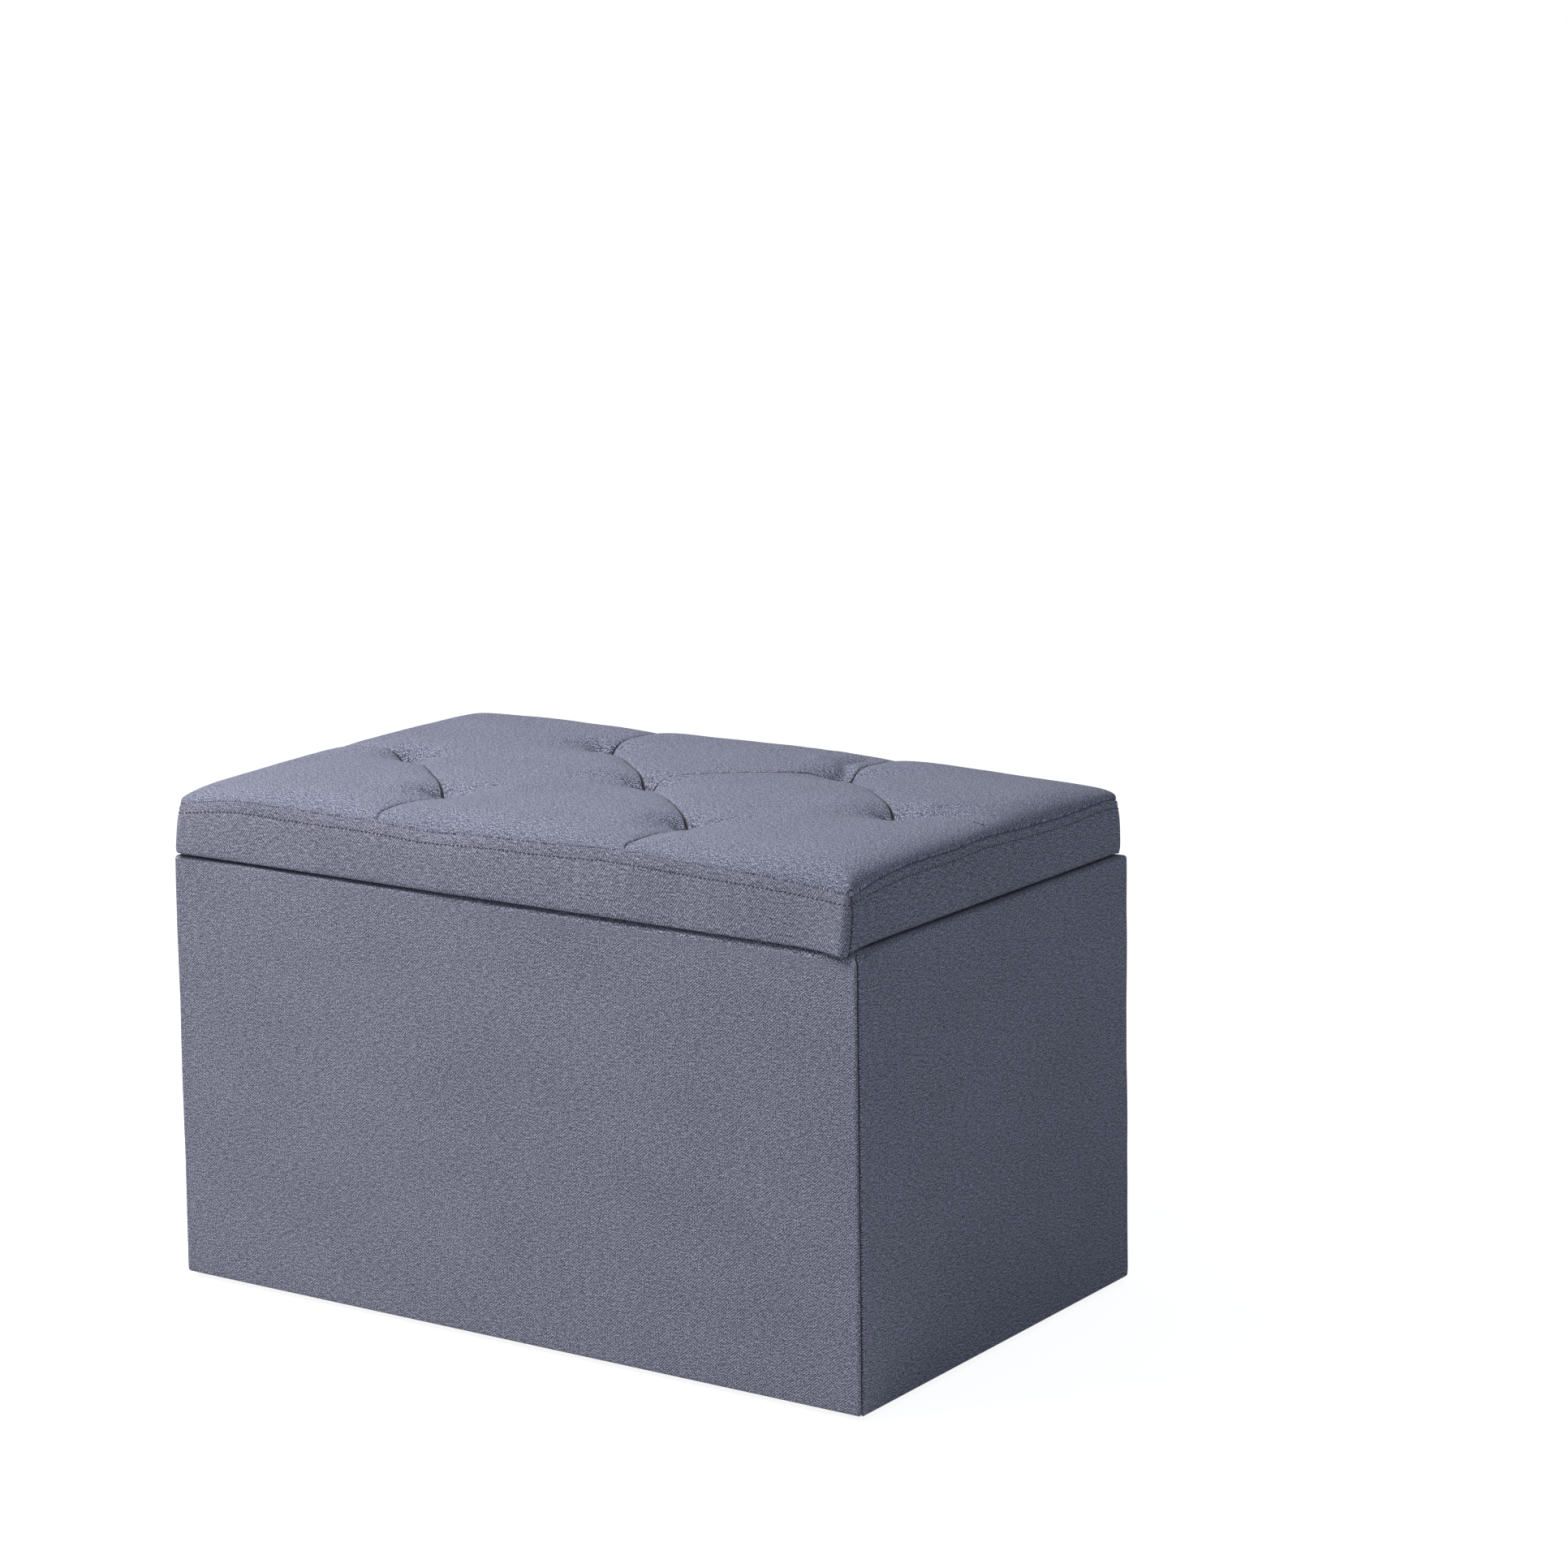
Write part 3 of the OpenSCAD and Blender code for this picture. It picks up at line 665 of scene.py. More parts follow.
@dataclass(frozen=True)
class Rim:
    """A rounded rectangle seen from above."""

    half_x: float
    half_y: float
    radius: float
    least_bend: float = 0.4 * MM
    seam_gap: float = 0.2 * MM
    near_seam: tuple[float, ...] = (0, 0.45, 0.9, 1.5, 2.4, 3.4, 4.8, 6.6, 9, 12, 16, 21, 27)
    near_bend: tuple[float, ...] = (1.5, 3.2, 5.2, 8.0)

    def depth_in(self, x: Array, y: Array) -> Array:
        """Distance in from the rim, negative outside.

        Args:
            x: places along X.
            y: places along Y.

        Returns:
            Distances.
        """
        qx = np.abs(x) - (self.half_x - self.radius)
        qy = np.abs(y) - (self.half_y - self.radius)
        outside = np.hypot(np.maximum(qx, 0), np.maximum(qy, 0))
        return self.radius - outside - np.minimum(np.maximum(qx, qy), 0)

    def share(self, wall: Wall, reach: float, inset: float, step: float = 0.006) -> Array:
        """A wall's share of the rim, from its left end to its right end seen from outside.

        Args:
            wall: which wall.
            reach: how far front and back shares reach round the corner, from the face.
            inset: how far in from the rim.
            step: distance between stations.

        Returns:
            (n, 2) places; n depends only on the wall and step.
        """
        hx, hy = self.half_x - inset, self.half_y - inset
        bend = max(self.radius - inset, self.least_bend)
        cut = -self.half_y + max(reach, inset + self.least_bend)
        pivot = -hy + bend
        if wall in (Wall.LEFT, Wall.RIGHT):
            cut += self.seam_gap
            drop = min(max((pivot - cut) / bend, 0.0), 1.0)
            turn = math.asin(drop)
            half = min(-cut, -pivot)
            total = half + bend * turn
            near = np.array(self.near_seam) * MM
            s = np.concatenate([total - near, np.linspace(total - 33 * MM, 0, int(self.half_y / step))])
            on_arc = np.clip((s - half) / bend, 0, None) * (turn > 0)
            x = -hx + bend * (1 - np.cos(on_arc))
            y = np.where(s > half, pivot - bend * np.sin(on_arc), -s)
            front_half = np.stack([x, y], 1)
            path = np.concatenate([front_half[:-1] * [1, -1], front_half[::-1]])
            return path if wall is Wall.LEFT else -path
        straight = max(cut - pivot, 0.0)
        start = math.asin(min(max((pivot - cut) / bend, 0.0), 1.0))
        total = straight + bend * (math.pi / 2 - start)
        s = np.linspace(0, total, 16)
        angle = start + np.clip(s - straight, 0, None) / bend
        x = np.where(s < straight, -hx, -hx + bend * (1 - np.cos(angle)))
        y = np.where(s < straight, cut - s, pivot - bend * np.sin(angle))
        half = np.stack([x, y], 1)
        reach_in = hx - bend
        near = np.array(self.near_bend) * MM
        middle = np.linspace(-reach_in + 13 * MM, reach_in - 13 * MM, int(2 * self.half_x / step))
        along = np.concatenate([-reach_in + near, middle, reach_in - near[::-1]])
        front = np.stack([along, np.full_like(along, -hy)], 1)
        path = np.concatenate([half, front, (half * [-1, 1])[::-1]])
        return path if wall is Wall.FRONT else -path

    def loop(self, inset: float, step: float) -> Array:
        """The whole rim, anticlockwise from above.

        Args:
            inset: how far in.
            step: distance between stations.

        Returns:
            (n, 2) places; n depends only on the step.
        """
        bend = max(self.radius - inset, self.least_bend)
        cx, cy = self.half_x - inset - bend, self.half_y - inset - bend
        corners = ((1, -1), (1, 1), (-1, 1), (-1, -1))
        out = []
        for quarter, (sx, sy) in enumerate(corners):
            turn = (quarter - 1) * math.pi / 2 + np.linspace(0, math.pi / 2, 9)
            out.append(np.stack([sx * cx + bend * np.cos(turn), sy * cy + bend * np.sin(turn)], 1))
            nx, ny = corners[(quarter + 1) % 4]
            away = bend * np.array([math.cos(turn[-1]), math.sin(turn[-1])])
            start, stop = out[-1][-1], np.array([nx * cx, ny * cy]) + away
            count = int((2 * (self.half_y if quarter in (0, 2) else self.half_x)) / step)
            out.append(start + (stop - start) * np.linspace(0, 1, count + 1)[1:-1, None])
        return np.concatenate(out)


def fall(away: Array, reach: Array | float, power: Array | float = 2) -> Array:
    """From 1 down towards 0 as places lie further away."""
    return np.exp(-((away / reach) ** power))


def circle(centre: Array, radius: float, sides: int, turn: float = 0.0) -> Array:
    """Points round a circle in plan, the first one turned on by so many radians."""
    a = np.arange(sides) * 2 * math.pi / sides + turn
    return np.asarray(centre) + radius * np.stack([np.cos(a), np.sin(a)], 1)


def run_length(points: Array) -> Array:
    """Distance along a polyline to each of its points."""
    return np.concatenate([[0.0], np.cumsum(np.linalg.norm(np.diff(points, axis=0), axis=1))])


@dataclass
class Wrap:
    """Cloth or padding that follows one wall's share of a rim, with one profile."""

    rim: Rim
    wall: Wall
    reach: float
    profile: Array
    step: float = 0.006

    def surface(self) -> tuple[Array, Array, Array]:
        """Lofts the profile along the rim.

        Returns:
            points (rows, stations, 3), outward normals of the same shape, and places on the flat cloth
            (rows, stations, 2).
        """
        rows = []
        for inset, z in self.profile:
            path = self.rim.share(self.wall, self.reach, inset, self.step)
            rows.append(np.concatenate([path, np.full((len(path), 1), z)], 1))
        points = np.stack(rows)
        along = np.gradient(points, axis=1)
        down = np.gradient(points, axis=0)
        normal = unit(np.cross(along, down))
        outer = int(np.argmin(self.profile[:, 0]))
        u = run_length(points[outer])
        v = run_length(self.profile)
        cloth = np.stack(np.broadcast_arrays(u[None, :], v[:, None]), -1)
        return points, normal, cloth

    def flat_size(self) -> tuple[float, float]:
        """Width and length of the flat cut."""
        across = self.rim.share(self.wall, self.reach, float(self.profile[:, 0].min()), self.step)
        return float(run_length(across)[-1]), float(run_length(self.profile)[-1])


@dataclass
class Threads:
    """Sewing threads in the making: capped tubes gathered into one piece."""

    sides: int
    points: list[Array] = field(default_factory=list)
    faces: list[list[int]] = field(default_factory=list)

    def lay(self, centres: Array, side: Array, up: Array, radii: Array) -> None:
        """Adds one tube.

        Args:
            centres: (n, 3) places along it.
            side: (n, 3) directions across it, of length one.
            up: (n, 3) directions off the cloth, of length one.
            radii: (n,) radii.
        """
        start = sum(map(len, self.points))
        turn = 2 * math.pi * np.arange(self.sides) / self.sides
        ring = np.cos(turn)[:, None] * side[:, None] + np.sin(turn)[:, None] * up[:, None]
        self.points.append((centres[:, None] + radii[:, None, None] * ring).reshape(-1, 3))
        last = start + (len(centres) - 1) * self.sides
        self.faces.extend((strip_faces(len(centres), self.sides, loop_columns=True) + start).tolist())
        self.faces.append([start + k for k in range(self.sides)])
        self.faces.append([last + k for k in reversed(range(self.sides))])

    def piece(self, name: str, finish: Material) -> Piece:
        """Makes the piece."""
        return face_out(mesh_piece(name, np.concatenate(self.points), self.faces, finish))


@dataclass(frozen=True)
class Stitch:
    """One machine stitch: thread that dips into the cloth at both ends."""

    pitch: float
    length: float
    radius: float
    sink: float = 0.2
    stations: tuple[float, ...] = (-0.5, -0.42, -0.2, 0.2, 0.42, 0.5)
    swell: tuple[float, ...] = (0.25, 0.75, 1.0, 1.0, 0.75, 0.25)
    lift: tuple[float, ...] = (-1.0, -0.1, 0.35, 0.35, -0.1, -1.0)

    def row(self, name: str, path: Array, normal: Array, finish: Material) -> Piece:
        """A row of stitches along a path.

        Args:
            name: the piece's name.
            path: (n, 3) places on the cloth.
            normal: (n, 3) outward normals there.
            finish: the thread's material.

        Returns:
            One object with every stitch.
        """
        s = run_length(path)
        count = max(int(s[-1] / self.pitch), 1)
        radii = np.array(self.swell) * self.radius
        rise = (np.array(self.lift) - self.sink) * self.radius
        threads = Threads(6)
        for middle in (np.arange(count) + 0.5) * s[-1] / count:
            t = np.clip(middle + np.array(self.stations) * self.length, 0, s[-1])
            centre = np.stack([np.interp(t, s, path[:, i]) for i in range(3)], 1)
            up = unit(np.stack([np.interp(t, s, normal[:, i]) for i in range(3)], 1))
            side = unit(np.cross(up, unit(centre[-1] - centre[0])))
            threads.lay(centre + up * rise[:, None], side, up, radii)
        return threads.piece(name, finish)


def thread_line(name: str, paths: list[tuple[Array, Array]], radius: float, finish: Material) -> Piece:
    """The near-black thread down the bottom of a seam or crease: part sewing thread, part painted shade of
    the seam.

    Args:
        name: the piece's name.
        paths: places and outward normals of each seam.
        radius: thread radius.
        finish: the thread's material.

    Returns:
        One object with every thread.
    """
    threads = Threads(8)
    for path, outward in paths:
        ahead = unit(np.gradient(path, axis=0))
        side = unit(np.cross(outward, ahead))
        threads.lay(path, side, np.cross(ahead, side), np.full(len(path), radius))
    return threads.piece(name, finish)


def corner_threads(
    name: str, skin: Array, outward: Array, seen: slice, finish: Material, body: Body
) -> Piece:
    """The near-black thread down the seams at both ends of one wall's cloth, which paints the shade in those
    seams.

    Args:
        name: the piece's name.
        skin: the cloth's surface, (rows, stations, 3).
        outward: its outward normals.
        seen: the rows that the thread runs along.
        finish: the thread's material.
        body: what it rides on.

    Returns:
        The piece.
    """
    proud, radius = 0.25 * MM, 0.75 * MM
    lines = [(skin[seen, end] + outward[seen, end] * proud, outward[seen, end]) for end in (0, -1)]
    piece = thread_line(name, lines, radius, finish)
    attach(piece, body.value)
    report(piece)
    return piece


def face_out(piece: Piece) -> Piece:
    """Turns a piece's faces outwards.

    Args:
        piece: the piece.

    Returns:
        The piece.
    """
    shape = bmesh.new()
    shape.from_mesh(piece.data)
    bmesh.ops.recalc_face_normals(shape, faces=shape.faces)
    shape.to_mesh(piece.data)
    shape.free()
    return piece


def arc(centre: Place, radius: float, start: float, stop: float, count: int) -> Array:
    """Points of an arc, angles in degrees, in the (inset, height) plane."""
    a = np.radians(np.linspace(start, stop, count))
    return np.stack([centre[0] + radius * np.cos(a), centre[1] + radius * np.sin(a)], 1)


def span(start: Place, stop: Place, count: int) -> Array:
    """Points strictly between two profile points."""
    t = np.linspace(0, 1, count + 2)[1:-1, None]
    return np.array(start) * (1 - t) + np.array(stop) * t


# ---------------------------------------------------------------- the box


def tuck(
    points: Array, outward: Array, cloth: Array, depth: float = 2.6 * MM
) -> tuple[Array, Array]:
    """Turns a panel's two side edges in behind its neighbour, as a seam allowance.

    Args:
        points: (rows, stations, 3).
        outward: outward normals of the same shape.
        cloth: (rows, stations, 2).
        depth: how far the edges go in.

    Returns:
        Points and cloth places with a station more at each end.
    """
    ends, laid = [], []
    for edge, inner in ((0, 1), (-1, -2)):
        ahead = unit(points[:, edge] - points[:, inner])
        ends.append(points[:, edge] - outward[:, edge] * depth + ahead * 0.35 * depth)
        laid.append(cloth[:, edge] + [depth if edge else -depth, 0])
    return (
        np.concatenate([ends[0][:, None], points, ends[1][:, None]], 1),
        np.concatenate([laid[0][:, None], cloth, laid[1][:, None]], 1),
    )


@dataclass
class BoxUpholstery:
    """The box's four covers, each turned under, over the top edge and down inside."""

    finishes: FinishRack
    thickness: float = 1.6 * MM
    seam_reach: float = 2.0 * MM
    turn_in: float = 22 * MM
    wall: float = 21.6 * MM
    turned_under: float = 19 * MM
    corner: float = 5 * MM
    top_bend: float = 2.4 * MM
    foot_bend: float = 2.6 * MM
    inner_bend: float = 1.8 * MM
    seam_dip: float = 2.3 * MM
    seam_width: float = 1.4 * MM
    inside: float = 15 * MM
    soft_top: float = 20 * MM
    edge_sag: tuple[float, ...] = (0.6, 2.0, 3.6, 5.2, 6.4, 6.8)
    sag_shares: tuple[float, ...] = (0, 0.25, 0.45, 0.78, 0.93, 1.0)
    least_sag: float = 0.5 * MM
    sag_front: float = 3 * MM
    sag_behind: float = 16 * MM
    sag_inset: float = 6.2 * MM
    sag_fade: float = 18 * MM
    foot_fade: float = 6 * MM
    top_fade: float = 9 * MM
    ridge_off: float = 4 * MM
    ridge_width: float = 3 * MM
    crest_height: float = 12 * MM
    low: float = field(init=False)
    high: float = field(init=False)
    rim: Rim = field(init=False)

    def __post_init__(self) -> None:
        """Reads the box's outline from the frame."""
        lo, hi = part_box("cover_front")
        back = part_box("cover_back")[1]
        self.low, self.high = lo[2], hi[2]
        self.rim = Rim(hi[0], back[1], self.corner)

    def profile(self) -> Array:
        """The cloth's section.

        Returns:
            Inset and height from the turned-under edge round to the hem inside.
        """
        b, t, inner = self.foot_bend, self.top_bend, self.inner_bend
        under, hem = (self.turned_under, self.low), (self.wall, self.high - self.turn_in)
        parts = [
            np.array([under]),
            span(under, (b, self.low), 3),
            arc((b, self.low + b), b, 270, 180, 6),
            span((0, self.low + b), (0, self.high - t), 62),
            arc((t, self.high - t), t, 180, 90, 8),
            span((t, self.high), (self.wall - inner, self.high), 4),
            arc((self.wall - inner, self.high - inner), inner, 90, 0, 5),
            span((self.wall, self.high - inner), hem, 5),
            np.array([hem]),
        ]
        return np.concatenate(parts)

    def slump(self, points: Array) -> Array:
        """How far the soft top edge has sunk, most along the front towards the right.

        Args:
            points: places on the cloth.

        Returns:
            Depths.
        """
        x, y, z = points[..., 0], points[..., 1], points[..., 2]
        share = np.clip((x + self.rim.half_x) / (2 * self.rim.half_x), 0, 1)
        along = np.interp(share, self.sag_shares, np.array(self.edge_sag) * MM)
        behind = np.clip(y + self.rim.half_y - self.sag_front, 0, None)
        sunk = self.least_sag + (along - self.least_sag) * fall(behind, self.sag_behind, 1.4)
        inset = np.clip(self.rim.depth_in(x, y), 0, None)
        outer = np.clip(1 - inset / self.sag_inset, 0, 1) ** 1.3
        return sunk * outer * np.clip((z - self.high + self.soft_top) / self.sag_fade, 0, 1) ** 1.3

    def uneven(self, points: Array, normal: Array, cloth: Array) -> Array:
        """The small swell of padding and the pull at the seams.

        Args:
            points: the smooth surface.
            normal: its outward normals.
            cloth: places on the flat cloth.

        Returns:
            The moved points.
        """
        u = cloth[0, :, 0]
        z = points[..., 2]
        above_foot = np.clip((z - self.low) / self.foot_fade, 0, 1)
        below_top = np.clip((self.high - z) / self.top_fade, 0, 1)
        upright = np.abs(normal[..., 2]) < 0.5
        inside = self.rim.depth_in(points[..., 0], points[..., 1]) > self.inside
        outer = above_foot * below_top * upright * ~inside
        swell = Ripple(11, 0.30).at(points) * 0.45 * MM + Ripple(12, 0.09).at(points) * 0.14 * MM
        near = np.minimum(u, u[-1] - u)
        pull = self.seam_dip * np.clip(1 - near / self.seam_width, 0, 1)
        ridge = 0.3 * MM * fall(near - self.ridge_off, self.ridge_width)
        shift = outer * (swell + ridge[None, :]) - pull[None, :] * (~inside)
        moved = points + normal * shift[..., None]
        over_crest = z - self.high + self.crest_height
        crest = (over_crest > 0) & ~inside
        wave = (Ripple(13, 0.16).at(points * [1, 1, 0]) - 1) * 0.35 * MM
        moved[..., 2] += crest * wave * np.clip(over_crest / self.top_fade, 0, 1) - self.slump(points)
        return moved

    def cover(self, wall: Wall) -> Piece:
        """One wall's cover.

        Args:
            wall: which wall.

        Returns:
            The piece.
        """
        wrap = Wrap(self.rim, wall, self.seam_reach, self.profile())
        points, normal, cloth = wrap.surface()
        skin = self.uneven(points, normal, cloth)
        if wall in (Wall.FRONT, Wall.BACK):
            first = 5
            seen = slice(first, first + int((wrap.profile[first:, 0] < 7 * MM).argmin()))
            # A near-black thread down both corner seams: painted shade of the seam.
            name = f"box_corner_shade_thread_{wall.value}"
            corner_threads(name, skin, normal, seen, self.finishes.painted_shade_thread, Body.BOX)
        points, cloth = tuck(skin, normal, cloth)
        rows, columns = points.shape[:2]
        middle = rows // 2, columns // 2
        facing, finish = (points[middle], normal[middle]), self.finishes.twill
        piece = sheet_piece(f"box_cover_{wall.value}", points, cloth, finish, facing, self.thickness)
        if wall is Wall.BACK:
            notch(piece, *HingeRoom().cuts(self.high))
        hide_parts(f"cover_{wall.value}")
        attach(piece, Body.BOX.value)
        wrap.flat_size()
        report(piece)
        return piece

    def build(self) -> list[Piece]:
        """Makes the four covers."""
        return [self.cover(wall) for wall in Wall]


@dataclass(frozen=True)
class HingeRoom:
    """Room cut round the hinges: a flat box at each leaf, and rods round its knuckle."""

    gap: float = 0.4 * MM
    end_gap: float = 0.6 * MM
    below: float = 1.7 * MM
    above: float = 2.4 * MM
    knuckle: float = 3.6 * MM
    behind: float = 3 * MM

    def cuts(self, top: float) -> tuple[list[tuple[Vector, Vector]], list[Rod]]:
        """Sets out the cuts.

        Args:
            top: height of the box's top edge.

        Returns:
            Boxes and rods for notch().
        """
        boxes, rods = [], []
        for side in ("left", "right"):
            lo, hi = (Vector(c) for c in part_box(f"hinge_box_leaf_{side}"))
            pin_lo, pin_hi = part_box(f"hinge_pin_{side}")
            y, z = (pin_lo[1] + pin_hi[1]) / 2, (pin_lo[2] + pin_hi[2]) / 2
            low = Vector((lo.x - self.gap, lo.y - self.gap, top - self.below))
            boxes.append((low, Vector((hi.x + self.gap, y, top + self.above))))
            for back in (0.0, self.behind):
                rods.append((lo.x - self.end_gap, hi.x + self.end_gap, y + back, z, self.knuckle))
        return boxes, rods


def orient(piece: Piece, place: Array, outward: Array) -> None:
    """Flips a surface if its face nearest a place looks the wrong way.

    Args:
        piece: the surface.
        place: a place on it.
        outward: which way is out there.
    """
    mesh = piece.data
    centres = np.empty(len(mesh.polygons) * 3)
    mesh.polygons.foreach_get("center", centres)
    nearest = int(np.argmin(np.linalg.norm(centres.reshape(-1, 3) - place, axis=1)))
    if mesh.polygons[nearest].normal.dot(Vector(outward)) < 0:
        mesh.flip_normals()


def report(piece: Piece) -> None:
    """Logs a piece's name and size."""
    size = [c / MM for c in piece.dimensions]
    LOG.info("%s: %d faces, %.0f x %.0f x %.0f mm", piece.name, len(piece.data.polygons), *size)


@dataclass
class BoxPadding:
    """Thin foam under the box's covers."""

    finishes: FinishRack
    rim: Rim
    low: float
    high: float
    outer: float = 2.9 * MM
    inner: float = 4.9 * MM
    foot_gap: float = 1.8 * MM
    top_gap: float = 9 * MM
    reach: float = 10 * MM

    def profile(self) -> Array:
        """A slim loop with rounded ends.

        Returns:
            Its inset and height.
        """
        middle = (self.outer + self.inner) / 2
        r = (self.inner - self.outer) / 2
        lo, hi = self.low + self.foot_gap + r, self.high - self.top_gap - r
        return np.concatenate([
            arc((middle, lo), r, 0, -180, 6),
            span((self.outer, lo), (self.outer, hi), 24),
            arc((middle, hi), r, 180, 0, 6),
            span((self.inner, hi), (self.inner, lo), 24),
        ])

    def bar(self, wall: Wall) -> Piece:
        """A closed bar along one wall, capped at both ends.

        Args:
            wall: which wall.

        Returns:
            The piece.
        """
        points, _, cloth = Wrap(self.rim, wall, self.reach, self.profile(), 12 * MM).surface()
        rows, columns = points.shape[:2]
        faces = strip_faces(rows, columns, loop_rows=True).tolist()
        faces.append([r * columns for r in range(rows)])
        faces.append([r * columns + columns - 1 for r in reversed(range(rows))])
        name, finish = f"box_pad_{wall.value}", self.finishes.foam
        return face_out(mesh_piece(name, points.reshape(-1, 3), faces, finish, cloth.reshape(-1, 2)))

    def build(self) -> list[Piece]:
        """Makes the four pads.

        Returns:
            The pads.
        """
        out = []
        for wall in Wall:
            piece = self.bar(wall)
            if wall is Wall.BACK:
                notch(piece, *HingeRoom().cuts(self.high))
            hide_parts(f"pad_{wall.value}")
            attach(piece, Body.BOX.value)
            report(piece)
            out.append(piece)
        return out


@dataclass
class Linings:
    """Black cloth inside the box, under the box and under the lid."""

    finishes: FinishRack
    step: float = 9 * MM
    edge_ease: float = 50 * MM

    def panel(
        self, name: str, node: str, body: Body, sag: float, hold: Hold, rests_on: str, seed: int
    ) -> Piece:
        """A flat sheet that fills a node's box, slightly uneven.

        Args:
            name: the piece's name.
            node: the node it stands for.
            body: what it rides on.
            sag: how far its middle hangs.
            hold: how it is held.
            rests_on: what it lies against.
            seed: picks its unevenness.

        Returns:
            The piece.
        """
        lo, hi = (np.array(c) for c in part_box(node))
        nx, ny = int((hi[0] - lo[0]) / self.step), int((hi[1] - lo[1]) / self.step)
        x, y = np.meshgrid(np.linspace(lo[0], hi[0], nx), np.linspace(lo[1], hi[1], ny))
        edge = np.minimum(np.minimum(x - lo[0], hi[0] - x), np.minimum(y - lo[1], hi[1] - y))
        swell = np.clip(edge / self.edge_ease, 0, 1)
        points = np.stack([x, y, np.full_like(x, hi[2])], -1)
        wrinkle = Ripple(seed, 0.15).at(points) * 0.25 * MM * swell * (hold is Hold.LAID)
        points[..., 2] += wrinkle - sag * swell**2 * (3 - 2 * swell)
        facing = points[ny // 2, nx // 2], np.array([0, 0, 1.0])
        piece = sheet_piece(name, points, points[..., :2], self.finishes.felt, facing, hi[2] - lo[2])
        return self.place(piece, node, body, (hi[0] - lo[0], hi[1] - lo[1]), hold, rests_on)

    def place(
        self, piece: Piece, node: str, body: Body, flat: Place, hold: Hold, rests_on: str
    ) -> Piece:
        """Hides the node a lining stands for and puts the lining on its body.

        Args:
            piece: the lining.
            node: the node it stands for.
            body: what it rides on.
            flat: its cut; not used.
            hold: how it is held; not used.
            rests_on: what it lies against; not used.

        Returns:
            The piece.
        """
        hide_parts(node)
        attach(piece, body.value)
        report(piece)
        return piece

    def walls(self) -> Piece:
        """The lining glued round the inside of the boards.

        Returns:
            The piece.
        """
        lo, hi = (np.array(c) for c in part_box("lining_walls"))
        rim = Rim(hi[0], hi[1], 3 * MM)
        levels = np.linspace(lo[2], hi[2], 40)
        ring = rim.loop(0.0, 10 * MM)
        points = np.stack([np.concatenate([ring, np.full((len(ring), 1), z)], 1) for z in levels])
        from_foot, from_top = (levels - lo[2]) / self.edge_ease, (hi[2] - levels) / self.edge_ease
        swell = np.minimum(from_foot, 1) * np.minimum(from_top, 1)
        shift = (Ripple(31, 0.25).at(points) + 1) * 0.12 * MM * swell[:, None]
        points[..., :2] -= unit(points[..., :2]) * shift[..., None]
        length = run_length(np.concatenate([ring, ring[:1]]))
        cloth = np.stack(np.broadcast_arrays(length[None, :-1], levels[:, None]), -1)
        facing = np.array([hi[0], 0, levels[len(levels) // 2]]), np.array([1.0, 0, 0])
        felt = self.finishes.felt
        piece = sheet_piece("lining_cloth_walls", points, cloth, felt, facing, 0.8 * MM, loop=True)
        flat = (length[-1], hi[2] - lo[2])
        return self.place(piece, "lining_walls", Body.BOX, flat, Hold.STRETCHED, "board_back")

    def build(self) -> list[Piece]:
        """Makes every lining.

        Returns:
            The linings.
        """
        flat_ones = (
            ("lining_cloth_floor", "lining_floor", Body.BOX, 0.0, Hold.LAID, "board_floor", 32),
            ("dust_cloth_box", "box_dust_cover", Body.BOX, 0.8 * MM, Hold.STRETCHED, "box_staples", 33),
            ("dust_cloth_lid", "lid_dust_cover", Body.LID, 1.4 * MM, Hold.STRETCHED, "lid_staples", 34),
        )
        return [self.walls()] + [self.panel(*row) for row in flat_ones]


# ---------------------------------------------------------------- the lid


@dataclass(frozen=True)
class Line:
    """A straight line in plan."""

    start: Place
    stop: Place

    def length(self) -> float:
        """Its length."""
        return math.dist(self.start, self.stop)

    def beside(self, x: Array, y: Array) -> tuple[Array, Array]:
        """Where places stand beside the line.

        Args:
            x: places along X.
            y: places along Y.

        Returns:
            Share of the way along it, 0 to 1, and distance off it.
        """
        (ax, ay), (dx, dy) = self.start, np.subtract(self.stop, self.start)
        share = np.clip(((x - ax) * dx + (y - ay) * dy) / (dx * dx + dy * dy), 0, 1)
        return share, np.hypot(x - ax - share * dx, y - ay - share * dy)

    def places(self, reach: Array, off: Array | float = 0.0) -> Array:
        """Places so far along the line, and so far off to its left."""
        ahead = np.subtract(self.stop, self.start) / self.length()
        return np.array(self.start) + np.outer(reach, ahead) + np.outer(off, [-ahead[1], ahead[0]])


@dataclass(frozen=True)
class Fold(Line):
    """A small soft fold: a furrow, or a ridge where its depth is negative."""

    depth: float
    width: float
    from_tuft: bool = False
    lip: float = 0.35

    def furrow(self, x: Array, y: Array) -> Array:
        """How far the fold lowers the cloth.

        Args:
            x: places along X.
            y: places along Y.

        Returns:
            Depths.
        """
        t, off = self.beside(x, y)
        if self.from_tuft:
            (ax, ay), (bx, by) = self.start, self.stop
            beyond = (x - ax) * (by - ay) - (y - ay) * (bx - ax) > 0
            width = self.width * np.where(beyond, 1.0, self.lip)
            return self.depth * np.clip(t * 5, 0, 1) * (1 - t) ** 0.6 * fall(off, width, 1.15)
        swell = np.sin(math.pi * np.clip(t * 0.9 + 0.08, 0, 1)) ** 0.8
        return self.depth * swell * fall(off, self.width)

    def rows(self) -> list[Array]:
        """Rows of points that follow the fold.

        Returns:
            Polylines in plan.
        """
        reach = np.arange(5 * MM if self.from_tuft else 0.0, self.length(), 2.4 * MM)
        offs = (6.5, 4.4, 2.8, 1.6, 0.7, 0.0, -0.8, -1.8, -3.0, -4.6, -6.8)
        return [self.places(reach, off * MM) for off in offs]


@dataclass(frozen=True)
class Crease(Line):
    """A line drawn down between two tufts, or from a tuft to the edge."""

    valley: float
    groove: float = 0.0
    stitched: bool = False


